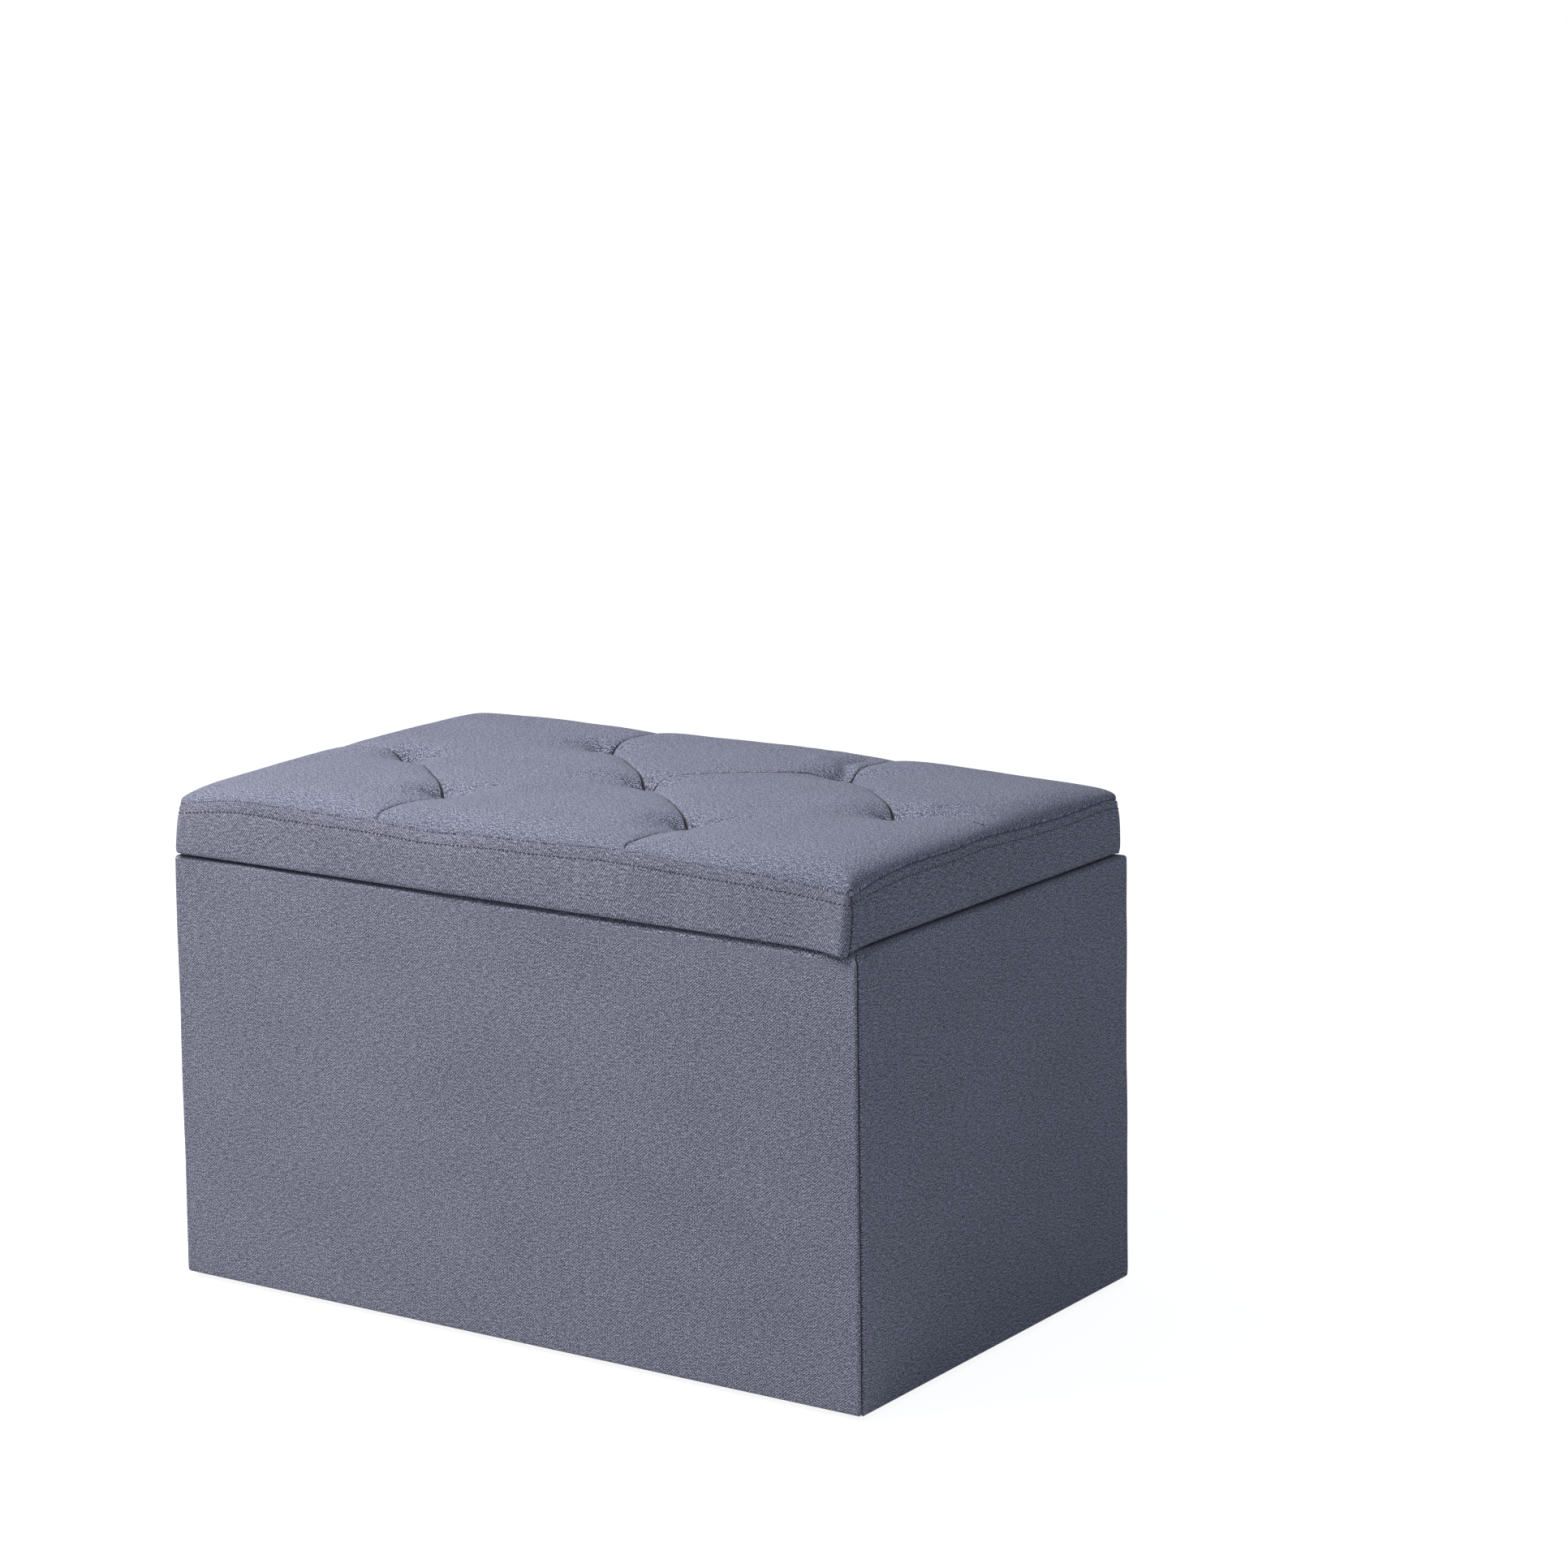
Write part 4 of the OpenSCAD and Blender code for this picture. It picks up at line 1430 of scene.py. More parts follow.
@dataclass
class TuftedCrown:
    """The lid top's height: a rounded crown drawn down at tufts and creases.

    A swell is its place along the edge, height and width. A corner drop is the signs of the corner's
    X and Y, then its depth and its reach along X and Y.
    """

    rim: Rim
    seam: float
    pitch: float
    row: float
    roll: float = 44 * MM
    lift: float = 22.5 * MM
    middle_lift: float = 4.5 * MM
    tuft_low: float = 8.5 * MM
    edge_rise: float = 3.6 * MM
    lip: float = 0.45 * MM
    edge_gap: float = 0.2 * MM
    valley_reach: float = 13 * MM
    groove_width: float = 0.75 * MM
    seam_up: float = 9 * MM
    lean: float = 1.8 * MM
    pinch: float = 3.2 * MM
    corner_reach: float = 24 * MM
    mouth: float = 20 * MM
    hole: float = 8 * MM
    hole_reach: float = 5.5 * MM
    hollow_reach: float = 44 * MM
    soft_reach: float = 26 * MM
    roundness: float = 2.3
    low_fade: float = 16 * MM
    pit_fade: float = 30 * MM
    long_way: Place = (0.556, -0.831)
    wide_way: Place = (-0.87, -0.493)
    slumps: tuple[CornerDrop, ...] = (
        (-1, -1, 7 * MM, 75 * MM, 150 * MM), (1, 1, 6 * MM, 150 * MM, 70 * MM),
    )
    front_swells: tuple[Swell, ...] = (
        (-300 * MM, 2.2 * MM, 45 * MM), (-80 * MM, -3.3 * MM, 45 * MM), (130 * MM, 3.5 * MM, 55 * MM),
    )
    right_swells: tuple[Swell, ...] = (
        (-120 * MM, 2.2 * MM, 50 * MM), (-15 * MM, 3.0 * MM, 40 * MM), (130 * MM, -2.6 * MM, 60 * MM),
    )
    corner_drops: tuple[CornerDrop, ...] = (
        (-1, -1, 8.5 * MM, 45 * MM, 30 * MM), (1, -1, 9.0 * MM, 75 * MM, 32 * MM),
        (1, 1, 5 * MM, 40 * MM, 14 * MM), (-1, 1, 6 * MM, 40 * MM, 30 * MM),
    )
    tufts: Array = field(init=False)
    creases: list[Crease] = field(init=False)
    folds: list[Fold] = field(init=False)

    def __post_init__(self) -> None:
        """Sets out tufts, creases and folds."""
        p, r = self.pitch, self.row
        centre, left, right = (0.0, 0.0), (-p, 0.0), (p, 0.0)
        fl, fr, bl, br = (-p / 2, -r), (p / 2, -r), (-p / 2, r), (p / 2, r)
        self.tufts = np.array([centre, left, right, fl, fr, bl, br])
        hx, hy = self.rim.half_x - self.edge_gap, self.rim.half_y - self.edge_gap
        deep, soft, cut = 5.5 * MM, 1.6 * MM, 6.0 * MM
        between = ((left, fl), (bl, centre), (centre, fr), (br, right))
        self.creases = [
            *(Crease(*ends, deep, cut) for ends in between),
            Crease(centre, br, 3.6 * MM, 3.4 * MM, True),
            *(Crease(tuft, (tuft[0], math.copysign(hy, tuft[1])), deep, cut) for tuft in (fl, fr, bl, br)),
            Crease(left, (-hx, 0.0), 4.0 * MM, 3.4 * MM),
            Crease(right, (hx, 0.0), 2.4 * MM, 1.2 * MM, True),
            *(Crease(*ends, soft) for ends in ((left, bl), (fl, centre), (fr, right))),
        ]
        beside_tufts = [
            (centre, (-66, -37), 9.0, 9), (fr, (100, -147), 9.0, 10), (fl, (-172, -145), 8.0, 9),
            (left, (-322, -24), 8.0, 9), (bl, (-174, 104), 8.0, 9), (br, (106, 104), 8.5, 9),
            (right, (236, -25), 9.0, 9),
        ]
        alone = [
            ((134, 132), (112, 164), 7.0, 7), ((112, 160), (126, 194), 5.5, 7),
            ((96, 138), (84, 168), -2.4, 9), ((288, 8), (340, 36), 2.6, 3.6),
            ((290, 1), (348, 14), 2.4, 3.6), ((288, -8), (334, -12), 2.0, 3.6),
            ((-124, -114), (-94, -88), 1.4, 3.6), ((-122, -121), (-82, -103), 1.2, 3.6),
            ((152, -121), (198, -106), 1.2, 3.6), ((126, -108), (102, -84), 1.4, 4),
            ((62, 198), (18, 146), -1.1, 9), ((88, 202), (52, 150), -1.1, 9),
        ]
        self.folds = [
            Fold(tuft, (x * MM, y * MM), depth * MM, width * MM, True)
            for tuft, (x, y), depth, width in beside_tufts
        ] + [
            Fold((ax * MM, ay * MM), (bx * MM, by * MM), depth * MM, width * MM)
            for (ax, ay), (bx, by), depth, width in alone
        ]

    def seam_rise(self, x: Array, y: Array) -> Array:
        """How far the seam stands above its drawn level.

        Args:
            x: places along X.
            y: places along Y.

        Returns:
            Rises.
        """
        total = np.zeros_like(x)
        weight = np.zeros_like(x)
        hx, hy = self.rim.half_x, self.rim.half_y
        edges = (
            (y + hy, x, self.front_swells), (hx - x, y, self.right_swells),
            (hy - y, x, ()), (x + hx, y, ()),
        )
        for away, along, swells in edges:
            near = 1 / (np.maximum(away, 0) + 3 * MM) ** 2
            rise = np.full_like(x, self.seam_up)
            for spot, height, width in swells:
                rise = rise + height * fall(along - spot, width)
            total += near * rise
            weight += near
        rise = total / weight
        for sx, sy, drop, reach_x, reach_y in self.corner_drops:
            r = np.hypot((x - sx * hx) / reach_x, (y - sy * hy) / reach_y)
            rise = rise - drop * fall(r, 1, 1.4)
        return rise

    def lean_at(self, x: Array) -> Array:
        """How far the cushion's cloth stands to the left of true, most at its ends."""
        share = x / self.rim.half_x
        return self.lean * share**4 + self.pinch * share**5

    def near_corner(self, x: Array, y: Array) -> Array:
        """How close places are to the front right corner, from 1 down to 0."""
        away = np.hypot(x - self.rim.half_x, y + self.rim.half_y)
        return fall(away, self.corner_reach, 1.6)

    def ends_at_rim(self, crease: Crease) -> bool:
        """True for a crease that runs from a tuft to the rim."""
        x, y = crease.stop
        return abs(x) > self.rim.half_x - 2 * MM or abs(y) > self.rim.half_y - 2 * MM

    def crease_distance(self, crease: Crease, x: Array, y: Array) -> tuple[Array, Array]:
        """Distances of places in plan to a crease, and to its nearer tuft."""
        t, off = crease.beside(x, y)
        return off, (t if self.ends_at_rim(crease) else np.minimum(t, 1 - t)) * crease.length()

    def groove_spread(self, from_tuft: Array) -> Array:
        """Half the width of a crease's groove, wider towards a tuft."""
        return self.groove_width * (0.85 + 1.5 * fall(from_tuft, self.mouth, 1))

    def pit(self, dx: Array, dy: Array, row: float) -> Array:
        """How far a tuft draws the cloth down: a steep hole in a hollow that is long on one side.

        Args:
            dx: distances along X from the tuft.
            dy: distances along Y from the tuft.
            row: the tuft's place along Y.

        Returns:
            Depths.
        """
        crest = self.lift + self.middle_lift * (1 - (row / self.rim.half_y) ** 2)
        deep = crest + self.edge_rise - self.tuft_low
        r = np.hypot(dx, dy)
        reach = np.maximum(r, 1e-6)
        (long_x, long_y), (wide_x, wide_y) = self.long_way, self.wide_way
        ramp = np.clip((dx * long_x + dy * long_y) / reach * 2.2 - 0.1, 0, 1)
        left = np.clip((dx * wide_x + dy * wide_y) / reach, 0, 1)
        hole = self.hole
        hollow = (deep - hole) * fall(r, self.hollow_reach, 1.2)
        long_side = hollow + hole * fall(r, self.hole_reach)
        steep_side = deep * fall(r, (11 + 5 * left) * MM, 1.3 + 0.3 * left)
        return long_side * ramp + steep_side * (1 - ramp)

    def height(self, x: Array, y: Array, sharp: bool = True) -> Array:
        """Height of the cloth.

        Args:
            x: places along X.
            y: places along Y.
            sharp: with the narrow grooves.

        Returns:
            Heights in the frame.
        """
        square = np.maximum(self.rim.depth_in(x, y), 1e-6)
        dx = np.maximum(self.rim.half_x - np.abs(x), 1e-6)
        dy = np.maximum(self.rim.half_y - np.abs(y), 1e-6)
        soft = np.maximum(dx + dy - np.hypot(dx, dy), 1e-6)
        inward = (square**-4.0 + soft**-4.0) ** -0.25 * 2**0.25
        rise = np.sqrt(1 - np.clip(1 - inward / self.roll, 0, 1) ** self.roundness)
        share_x, share_y = np.abs(x) / self.rim.half_x, y / self.rim.half_y
        dome = self.lift + self.middle_lift * (1 - share_y**2) * (1 - share_x**4)
        groove = np.zeros_like(x)
        low = np.zeros_like(x)
        for crease in self.creases:
            off, from_tuft = self.crease_distance(crease, x, y)
            if crease.groove:
                near, far = self.valley_reach, 2.6 * self.valley_reach
                spread = 0.6 * fall(off, near, 1) + 0.4 * fall(off, far, 1)
                if sharp:
                    fade = np.clip(from_tuft / (4 * MM), 0.3, 1) * np.clip(square / (5 * MM), 0.25, 1)
                    cut = np.exp(-1.2 * off / self.groove_spread(from_tuft))
                    groove = np.maximum(groove, crease.groove * fade * cut)
            else:
                spread = fall(off, self.soft_reach)
            low = np.maximum(low, crease.valley * spread)
        body = rise * (dome - low * np.clip(square / self.low_fade, 0.35, 1))
        for sx, sy, drop, reach_x, reach_y in self.slumps:
            r = np.hypot((x - sx * self.rim.half_x) / reach_x, (y - sy * self.rim.half_y) / reach_y)
            body = body - rise * drop * fall(r, 1)
        for fold in self.folds:
            body = body - fold.furrow(x, y)
        for tx, ty in self.tufts:
            body = body - self.pit(x - tx, y - ty, ty) * np.clip(square / self.pit_fade, 0, 1)
        spots = np.stack([x, y, np.zeros_like(x)], -1)
        body = body + rise * (Ripple(41, 0.16).at(spots) * 0.5 * MM + Ripple(42, 0.05).at(spots) * 0.12 * MM)
        edge = self.seam + self.lip + self.seam_rise(x, y) * (1 - rise) + self.edge_rise * rise
        return edge + body - groove


@dataclass
class LidTop:
    """The tufted top panel of the lid."""

    finishes: FinishRack
    crown: TuftedCrown
    thickness: float = 1.6 * MM
    spacing: float = 4 * MM
    rim_rows: tuple[float, ...] = (0.3, 0.5, 0.9, 1.6, 2.8, 4.4, 6.4, 9.0, 12.5, 17.0)
    pit_rings: tuple[tuple[float, int], ...] = ((0.9, 8), (2.0, 12), (3.4, 16))
    hollow_rings: tuple[tuple[float, int], ...] = (
        (5.2, 20), (7.2, 26), (9.4, 32), (11.8, 38), (14.4, 44),
        (17.2, 50), (20.2, 56), (23.4, 62), (27.0, 68), (31.0, 72),
    )
    rim_margin: float = 19.5 * MM
    crease_start: float = 4.5 * MM
    crease_step: float = 2.8 * MM
    crease_rows: tuple[float, ...] = (0.0, 0.45, -0.45, 1.0, -1.0, 1.9, -1.9, 3.4, -3.4)
    crease_gap: float = 5.5 * MM
    fold_gap: float = 8.2 * MM
    pit_gap: float = 33 * MM
    hem: tuple[Place, ...] = ((0.4, 0.30), (0.9, 0.55), (1.8, 0.9), (3.0, 1.4))
    held_edge: Place = (10 * MM, 14 * MM)
    held_crease: float = 7 * MM
    held_tuft: float = 9 * MM
    most_settling: float = 4 * MM
    frames: int = 20
    cloth_settings: dict[str, float] = field(default_factory=lambda: {
        "quality": 6, "mass": 0.25, "tension_stiffness": 18, "compression_stiffness": 18,
        "shear_stiffness": 6, "bending_stiffness": 1.2, "pin_stiffness": 20, "shrink_min": -0.01,
        "uniform_pressure_force": 1,
    })
    grid: tuple[Array, Array, Array] = field(init=False)

    def rows_along(self, crease: Crease) -> list[Array]:
        """Lines of points that follow a crease.

        Args:
            crease: the crease.

        Returns:
            Polylines in plan.
        """
        length, first = crease.length(), self.crease_start
        edge_end = self.crown.ends_at_rim(crease)
        last = length - (0.3 * MM if edge_end else first)
        s = np.linspace(first, last, int((last - first) / self.crease_step) + 1)
        from_tuft = s if edge_end else np.minimum(s, length - s)
        spread = self.crown.groove_spread(from_tuft) * np.clip(from_tuft / (14 * MM), 0.3, 1)
        lines = []
        for k in self.crease_rows:
            keep = s > 0 if abs(k) < 1.5 else (from_tuft > 9 * MM)
            if edge_end and k != 0:
                keep = keep & (s < length - 1.2 * MM)
            lines.append(crease.places(s[keep], k * spread[keep]))
        return lines

    def plan(self) -> tuple[Array, Array, Array]:
        """Triangulates the top in plan, with its edges along every crease.

        Returns:
            points (n, 2), triangles (m, 3), and the numbers of the outermost loop's points in order.
        """
        rim = self.crown.rim
        points: list[Array] = []
        edges: list[tuple[int, int]] = []

        def line(places: Array, closed: bool = False) -> range:
            """Adds points joined by edges.

            Args:
                places: (n, 2) in plan.
                closed: joins the last to the first.

            Returns:
                Their numbers.
            """
            first = sum(map(len, points))
            points.append(places)
            made = range(first, first + len(places))
            edges.extend(zip(made, made[1:]))
            if closed:
                edges.append((made[-1], first))
            return made

        outer = line(rim.loop(self.crown.edge_gap, self.spacing), True)
        for inset in self.rim_rows:
            line(rim.loop(inset * MM, self.spacing), True)
        for crease in (c for c in self.crown.creases if c.groove):
            for row in self.rows_along(crease):
                if len(row) > 1:
                    line(row)
        for tuft in self.crown.tufts:
            for radius, sides in self.pit_rings:
                line(circle(tuft, radius * MM, sides, 0.13), True)
            for radius, sides in self.hollow_rings:
                ring = circle(tuft, radius * MM, sides)
                points.append(ring[self.clear(ring, 2.2 * MM) & self.clear_of_folds(ring)])
        for row in (row for fold in self.crown.folds for row in fold.rows()):
            within = rim.depth_in(row[:, 0], row[:, 1]) > self.rim_margin
            points.append(row[self.clear(row, 2.2 * MM) & within])
        points.append(self.open_field())
        made = [Vector(p) for p in np.concatenate(points).tolist()]
        new, _, triangles, origin = delaunay_2d_cdt(made, edges, [], 0, 1e-7)[:4]
        lookup = {old: i for i, olds in enumerate(origin) for old in olds}
        loop = np.array([lookup[i] for i in outer])
        return np.array([tuple(v) for v in new]), np.array(triangles), loop

    def open_field(self) -> Array:
        """Evenly spread points between the rows, rings and rim.

        Returns:
            (n, 2) in plan.
        """
        rim, step = self.crown.rim, self.spacing
        gx = np.arange(-rim.half_x, rim.half_x, step)
        gy = np.arange(-rim.half_y, rim.half_y, step * 0.866)
        x, y = np.meshgrid(gx, gy)
        x = x + (np.arange(len(gy)) % 2)[:, None] * step / 2
        places = np.stack([x.ravel(), y.ravel()], 1)
        keep = rim.depth_in(places[:, 0], places[:, 1]) > self.rim_margin
        keep &= self.clear(places, self.crease_gap) & self.clear_of_folds(places)
        for tx, ty in self.crown.tufts:
            keep &= np.hypot(places[:, 0] - tx, places[:, 1] - ty) > self.pit_gap
        return places[keep]

    def clear(self, places: Array, gap: float) -> Array:
        """True for places further than gap from every crease."""
        creases = (c for c in self.crown.creases if c.groove)
        return np.all([c.beside(*places.T)[1] > gap for c in creases], axis=0)

    def clear_of_folds(self, places: Array) -> Array:
        """True for places clear of the rows that follow the folds."""
        return np.all([f.beside(*places.T)[1] > self.fold_gap for f in self.crown.folds], axis=0)

    def cloth_places(self, places: Array) -> Array:
        """Places on the flat cloth: the plan, with the rolled edges laid out flat.

        Args:
            places: (n, 2) in plan.

        Returns:
            (n, 2) in metres.
        """
        roll = self.crown.roll
        d = np.linspace(0, 1, 500) ** 2 * roll
        rise = np.sqrt(1 - (1 - d / roll) ** self.crown.roundness)
        run = run_length(np.stack([d, self.crown.lift * rise], 1))
        half = np.array([self.crown.rim.half_x, self.crown.rim.half_y])
        depth = np.clip(half - np.abs(places), 0, roll)
        return places + np.sign(places) * (run[-1] - np.interp(depth, d, run) - roll + depth)

    def settled(self) -> tuple[Array, Array, Array]:
        """Lets the cloth swell and settle between tufts and creases.

        Returns:
            The grid's x, its y, and how far each of its points moved (rows, columns, 3).
        """
        rim = self.crown.rim
        hx, hy = rim.half_x - 1 * MM, rim.half_y - 1 * MM
        gx, gy = np.linspace(-hx, hx, 126), np.linspace(-hy, hy, 76)
        x, y = np.meshgrid(gx, gy)
        start = np.stack([x, y, self.crown.height(x, y, sharp=False)], -1)
        faces = strip_faces(*x.shape)
        sheet = mesh_piece("settling_cloth", start.reshape(-1, 3), faces, self.finishes.sky_tinted_top_twill)
        held_in, fade = self.held_edge
        held = np.clip(1 - (rim.depth_in(x, y) - held_in) / fade, 0.8, 1)
        for crease in self.crown.creases:
            if crease.groove:
                off = self.crown.crease_distance(crease, x, y)[0]
                held = np.maximum(held, np.clip(1.3 - off / self.held_crease, 0, 1))
        for tx, ty in self.crown.tufts:
            held = np.maximum(held, np.clip(1.5 - np.hypot(x - tx, y - ty) / self.held_tuft, 0, 1))
        group = sheet.vertex_groups.new(name="held")
        for i, weight in enumerate(held.ravel()):
            if weight > 0.01:
                group.add([i], float(weight), "REPLACE")
        cloth = sheet.modifiers.new("settle", "CLOTH")
        for key, value in self.cloth_settings.items():
            setattr(cloth.settings, key, value)
        cloth.settings.vertex_group_mass = group.name
        cloth.settings.use_pressure = True
        cloth.settings.effector_weights.gravity = 0
        cloth.collision_settings.use_collision = False
        scene = bpy.context.scene
        for frame in range(1, self.frames + 1):
            scene.frame_set(frame)
        graph = bpy.context.evaluated_depsgraph_get()
        after = sheet.evaluated_get(graph).to_mesh()
        spots = np.empty(len(after.vertices) * 3)
        after.vertices.foreach_get("co", spots)
        moved = spots.reshape(start.shape) - start
        scene.frame_set(1)
        bpy.data.objects.remove(sheet)
        size = np.linalg.norm(moved, axis=-1, keepdims=True)
        moved *= np.minimum(1, self.most_settling / np.maximum(size, TINY))
        mean, most = float(size.mean()) / MM, float(size.max()) / MM
        LOG.info("lid top settled: mean %.2f mm, most %.2f mm", mean, most)
        return gx, gy, moved

    def moved_at(self, places: Array) -> Array:
        """How far the cloth settled at places in plan."""
        gx, gy, moved = self.grid
        return np.stack([sample(gx, gy, moved[..., axis], places) for axis in range(3)], 1)

    def build(self) -> Piece:
        """Makes the top panel.

        Returns:
            The piece.
        """
        crown, rim = self.crown, self.crown.rim
        flat, triangles, loop = self.plan()
        x, y = flat[:, 0], flat[:, 1]
        points = np.stack([x - crown.lean_at(x), y, crown.height(x, y)], 1)
        cloth = self.cloth_places(flat)
        self.grid = self.settled()
        points += self.moved_at(flat)
        faces = triangles.tolist()
        ring = rim.loop(crown.edge_gap, self.spacing)
        previous, outward = loop, unit(ring)
        edge = crown.seam + crown.lip + crown.seam_rise(ring[:, 0], ring[:, 1])
        for inset, drop in self.hem:
            spot = rim.loop(inset * MM, self.spacing)
            current = np.arange(len(points), len(points) + len(spot))
            turned = np.stack([spot[:, 0] - crown.lean_at(spot[:, 0]), spot[:, 1], edge - drop * MM], 1)
            points = np.concatenate([points, turned])
            cloth = np.concatenate([cloth, cloth[loop] + outward * drop * MM])
            ahead = np.roll(current, -1), np.roll(previous, -1)
            faces.extend(np.stack([previous, current, *ahead], 1).tolist())
            previous = current
        piece = mesh_piece("lid_top_cover", points, faces, self.finishes.sky_tinted_top_twill, cloth)
        face_up(piece)
        thicken(piece, self.thickness)
        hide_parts("lid_cover_top")
        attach(piece, Body.LID.value)
        report(piece)
        return piece


def sample(gx: Array, gy: Array, values: Array, places: Array) -> Array:
    """Reads a regular grid between its points.

    Args:
        gx: the grid's x, evenly spaced.
        gy: its y, evenly spaced.
        values: (rows, columns).
        places: (n, 2).

    Returns:
        (n,) values.
    """
    u = np.clip((places[:, 0] - gx[0]) / (gx[1] - gx[0]), 0, len(gx) - 1.001)
    v = np.clip((places[:, 1] - gy[0]) / (gy[1] - gy[0]), 0, len(gy) - 1.001)
    i, j = u.astype(int), v.astype(int)
    fu, fv = u - i, v - j
    low = values[j, i] * (1 - fu) + values[j, i + 1] * fu
    high = values[j + 1, i] * (1 - fu) + values[j + 1, i + 1] * fu
    return low * (1 - fv) + high * fv


def face_up(piece: Piece) -> None:
    """Makes an open surface's faces agree, with the most of them looking up.

    Args:
        piece: the surface.
    """
    face_out(piece)
    mesh = piece.data
    normals = np.empty(len(mesh.polygons) * 3)
    areas = np.empty(len(mesh.polygons))
    mesh.polygons.foreach_get("normal", normals)
    mesh.polygons.foreach_get("area", areas)
    if (normals.reshape(-1, 3)[:, 2] * areas).sum() < 0:
        mesh.flip_normals()


@dataclass
class LidBand:
    """The lid's side band: four strips, each turned under the lid."""

    finishes: FinishRack
    face: Rim
    crown: TuftedCrown
    low: float
    high: float
    reach: float = 2.0 * MM
    thickness: float = 1.6 * MM
    seam_dip: float = 2.3 * MM
    seam_width: float = 1.3 * MM
    stitch_drop: float = 7 * MM
    stitch_draw: float = 0.8 * MM
    stitch_width: float = 1.6 * MM
    foot_fade: float = 5 * MM
    skin_fade: float = 9 * MM
    front_fade: float = 30 * MM
    lip_reach: float = 4.4 * MM
    hinge_side: float = 225 * MM
    topstitches: Stitch = Stitch(4.6 * MM, 3.2 * MM, 0.55 * MM)
    edge_sag: tuple[float, ...] = (0.2, 0.9, 2.2, 3.8, 5.0, 5.4)
    sag_shares: tuple[float, ...] = (-1, -0.6, -0.15, 0.5, 0.85, 1)
    section: tuple[Place, ...] = (
        (51, 0.0), (40, 0.0), (30, 0.0), (20, 0.0), (12, 0.0), (7, 0.05), (4.0, 0.3), (1.6, 0.75),
        (-0.6, 1.15), (-2.4, 1.6), (-3.7, 2.1), (-4.5, 2.8), (-5.0, 3.7), (-5.3, 4.9), (-5.5, 6.6),
        (-5.6, 9.0), (-5.6, 12.0), (-5.5, 16.0), (-5.4, 20.5), (-5.2, 25.0), (-4.9, 29.5),
        (-4.5, 33.6), (-4.0, 37.2), (-3.4, 40.4), (-2.9, 42.8), (-2.4, 44.5),
    )
    front_lip: tuple[Place, ...] = ((-2.0, 45.6), (-1.7, 46.3), (-1.5, 46.7), (-1.0, 46.95), (0.2, 46.5))
    side_lip: tuple[Place, ...] = ((-1.9, 45.1), (-1.0, 45.4), (0.0, 45.5), (1.4, 46.0), (3.0, 46.5))

    def profile(self, wall: Wall) -> Array:
        """Inset and height from the turned edge round to the top seam."""
        shape = self.section + (self.front_lip if wall is Wall.FRONT else self.side_lip)
        return np.array([(i * MM, self.low + h * MM) for i, h in shape])

    def uneven(self, points: Array, normal: Array, near: Array) -> Array:
        """How far the padding swells the cloth, and the seams and the stitches draw it in.

        Args:
            points: the smooth surface.
            normal: its normals.
            near: each station's distance from the nearer corner seam.

        Returns:
            Shifts outwards.
        """
        z = points[..., 2]
        share = np.clip((z - self.low) / (self.high - self.low), 0, 1)
        upright = np.clip((z - self.low) / self.foot_fade, 0, 1) * (np.abs(normal[..., 2]) < 0.8)
        creased = Ripple(21, 0.22).at(points) * 0.8 * MM
        creased += Ripple(22, 0.05).at(points * [1, 1, 0.2]) * 0.22 * MM
        creased += Ripple(23, 0.018).at(points * [1, 1, 0.15]) * 0.07 * MM
        below_seam = z - self.high + self.stitch_drop
        drawn = self.stitch_draw * fall(below_seam, self.stitch_width)
        pull = self.seam_dip * np.clip(1 - near / self.seam_width, 0, 1)
        return creased * upright * np.clip((1 - share) * 8, 0.1, 1) - drawn * upright - pull * upright

    def draped(self, wall: Wall, points: Array, moved: Array) -> Array:
        """The strip leant, slumped and lifted to the top panel's seam, clear of the box behind.

        Args:
            wall: which wall.
            points: the smooth surface.
            moved: the uneven surface, which is changed.

        Returns:
            The moved points.
        """
        x, y, z = points[..., 0], points[..., 1], points[..., 2]
        inset = self.face.depth_in(x, y)
        share = np.clip((z - self.low) / (self.high - self.low), 0, 1)
        skin = np.clip(1 - (inset + 1 * MM) / self.skin_fade, 0, 1)
        skin = skin * skin * (3 - 2 * skin)
        down = 1 - share
        corner = self.crown.near_corner(x, y)
        front_face = np.clip(1 - (y + self.face.half_y) / self.front_fade, 0, 1)
        moved[..., 0] -= skin * (self.crown.lean_at(x) + 1.6 * MM * corner * (1 + 0.5 * down))
        moved[..., 1] -= skin * (2.6 * MM * front_face * down**1.5 + 5 * MM * corner * down**1.5)
        lip = np.clip(-inset / self.lip_reach, 0, 1) * down**5
        sag = np.interp(x / self.face.half_x, self.sag_shares, np.array(self.edge_sag) * MM)
        moved[..., 2] -= lip * (sag * front_face**3 + 3.4 * MM * corner + 0.3 * MM * (1 - front_face))
        seam_x, seam_y = x.copy(), y.copy()
        if wall in (Wall.LEFT, Wall.RIGHT):
            seam_x[:] = np.sign(x) * self.crown.rim.half_x
        else:
            seam_y[:] = np.sign(y) * self.crown.rim.half_y
        top_rows = np.arange(len(share))[:, None] >= len(share) - 6
        moved[..., 2] += self.crown.seam_rise(seam_x, seam_y) * np.where(top_rows, 1.0, share**1.2)
        clear_of_box = self.hinge_side + 1.2 * np.clip(moved[..., 2] - self.low - 4 * MM, 0, None)
        moved[..., 1] = np.minimum(moved[..., 1], clear_of_box)
        return moved

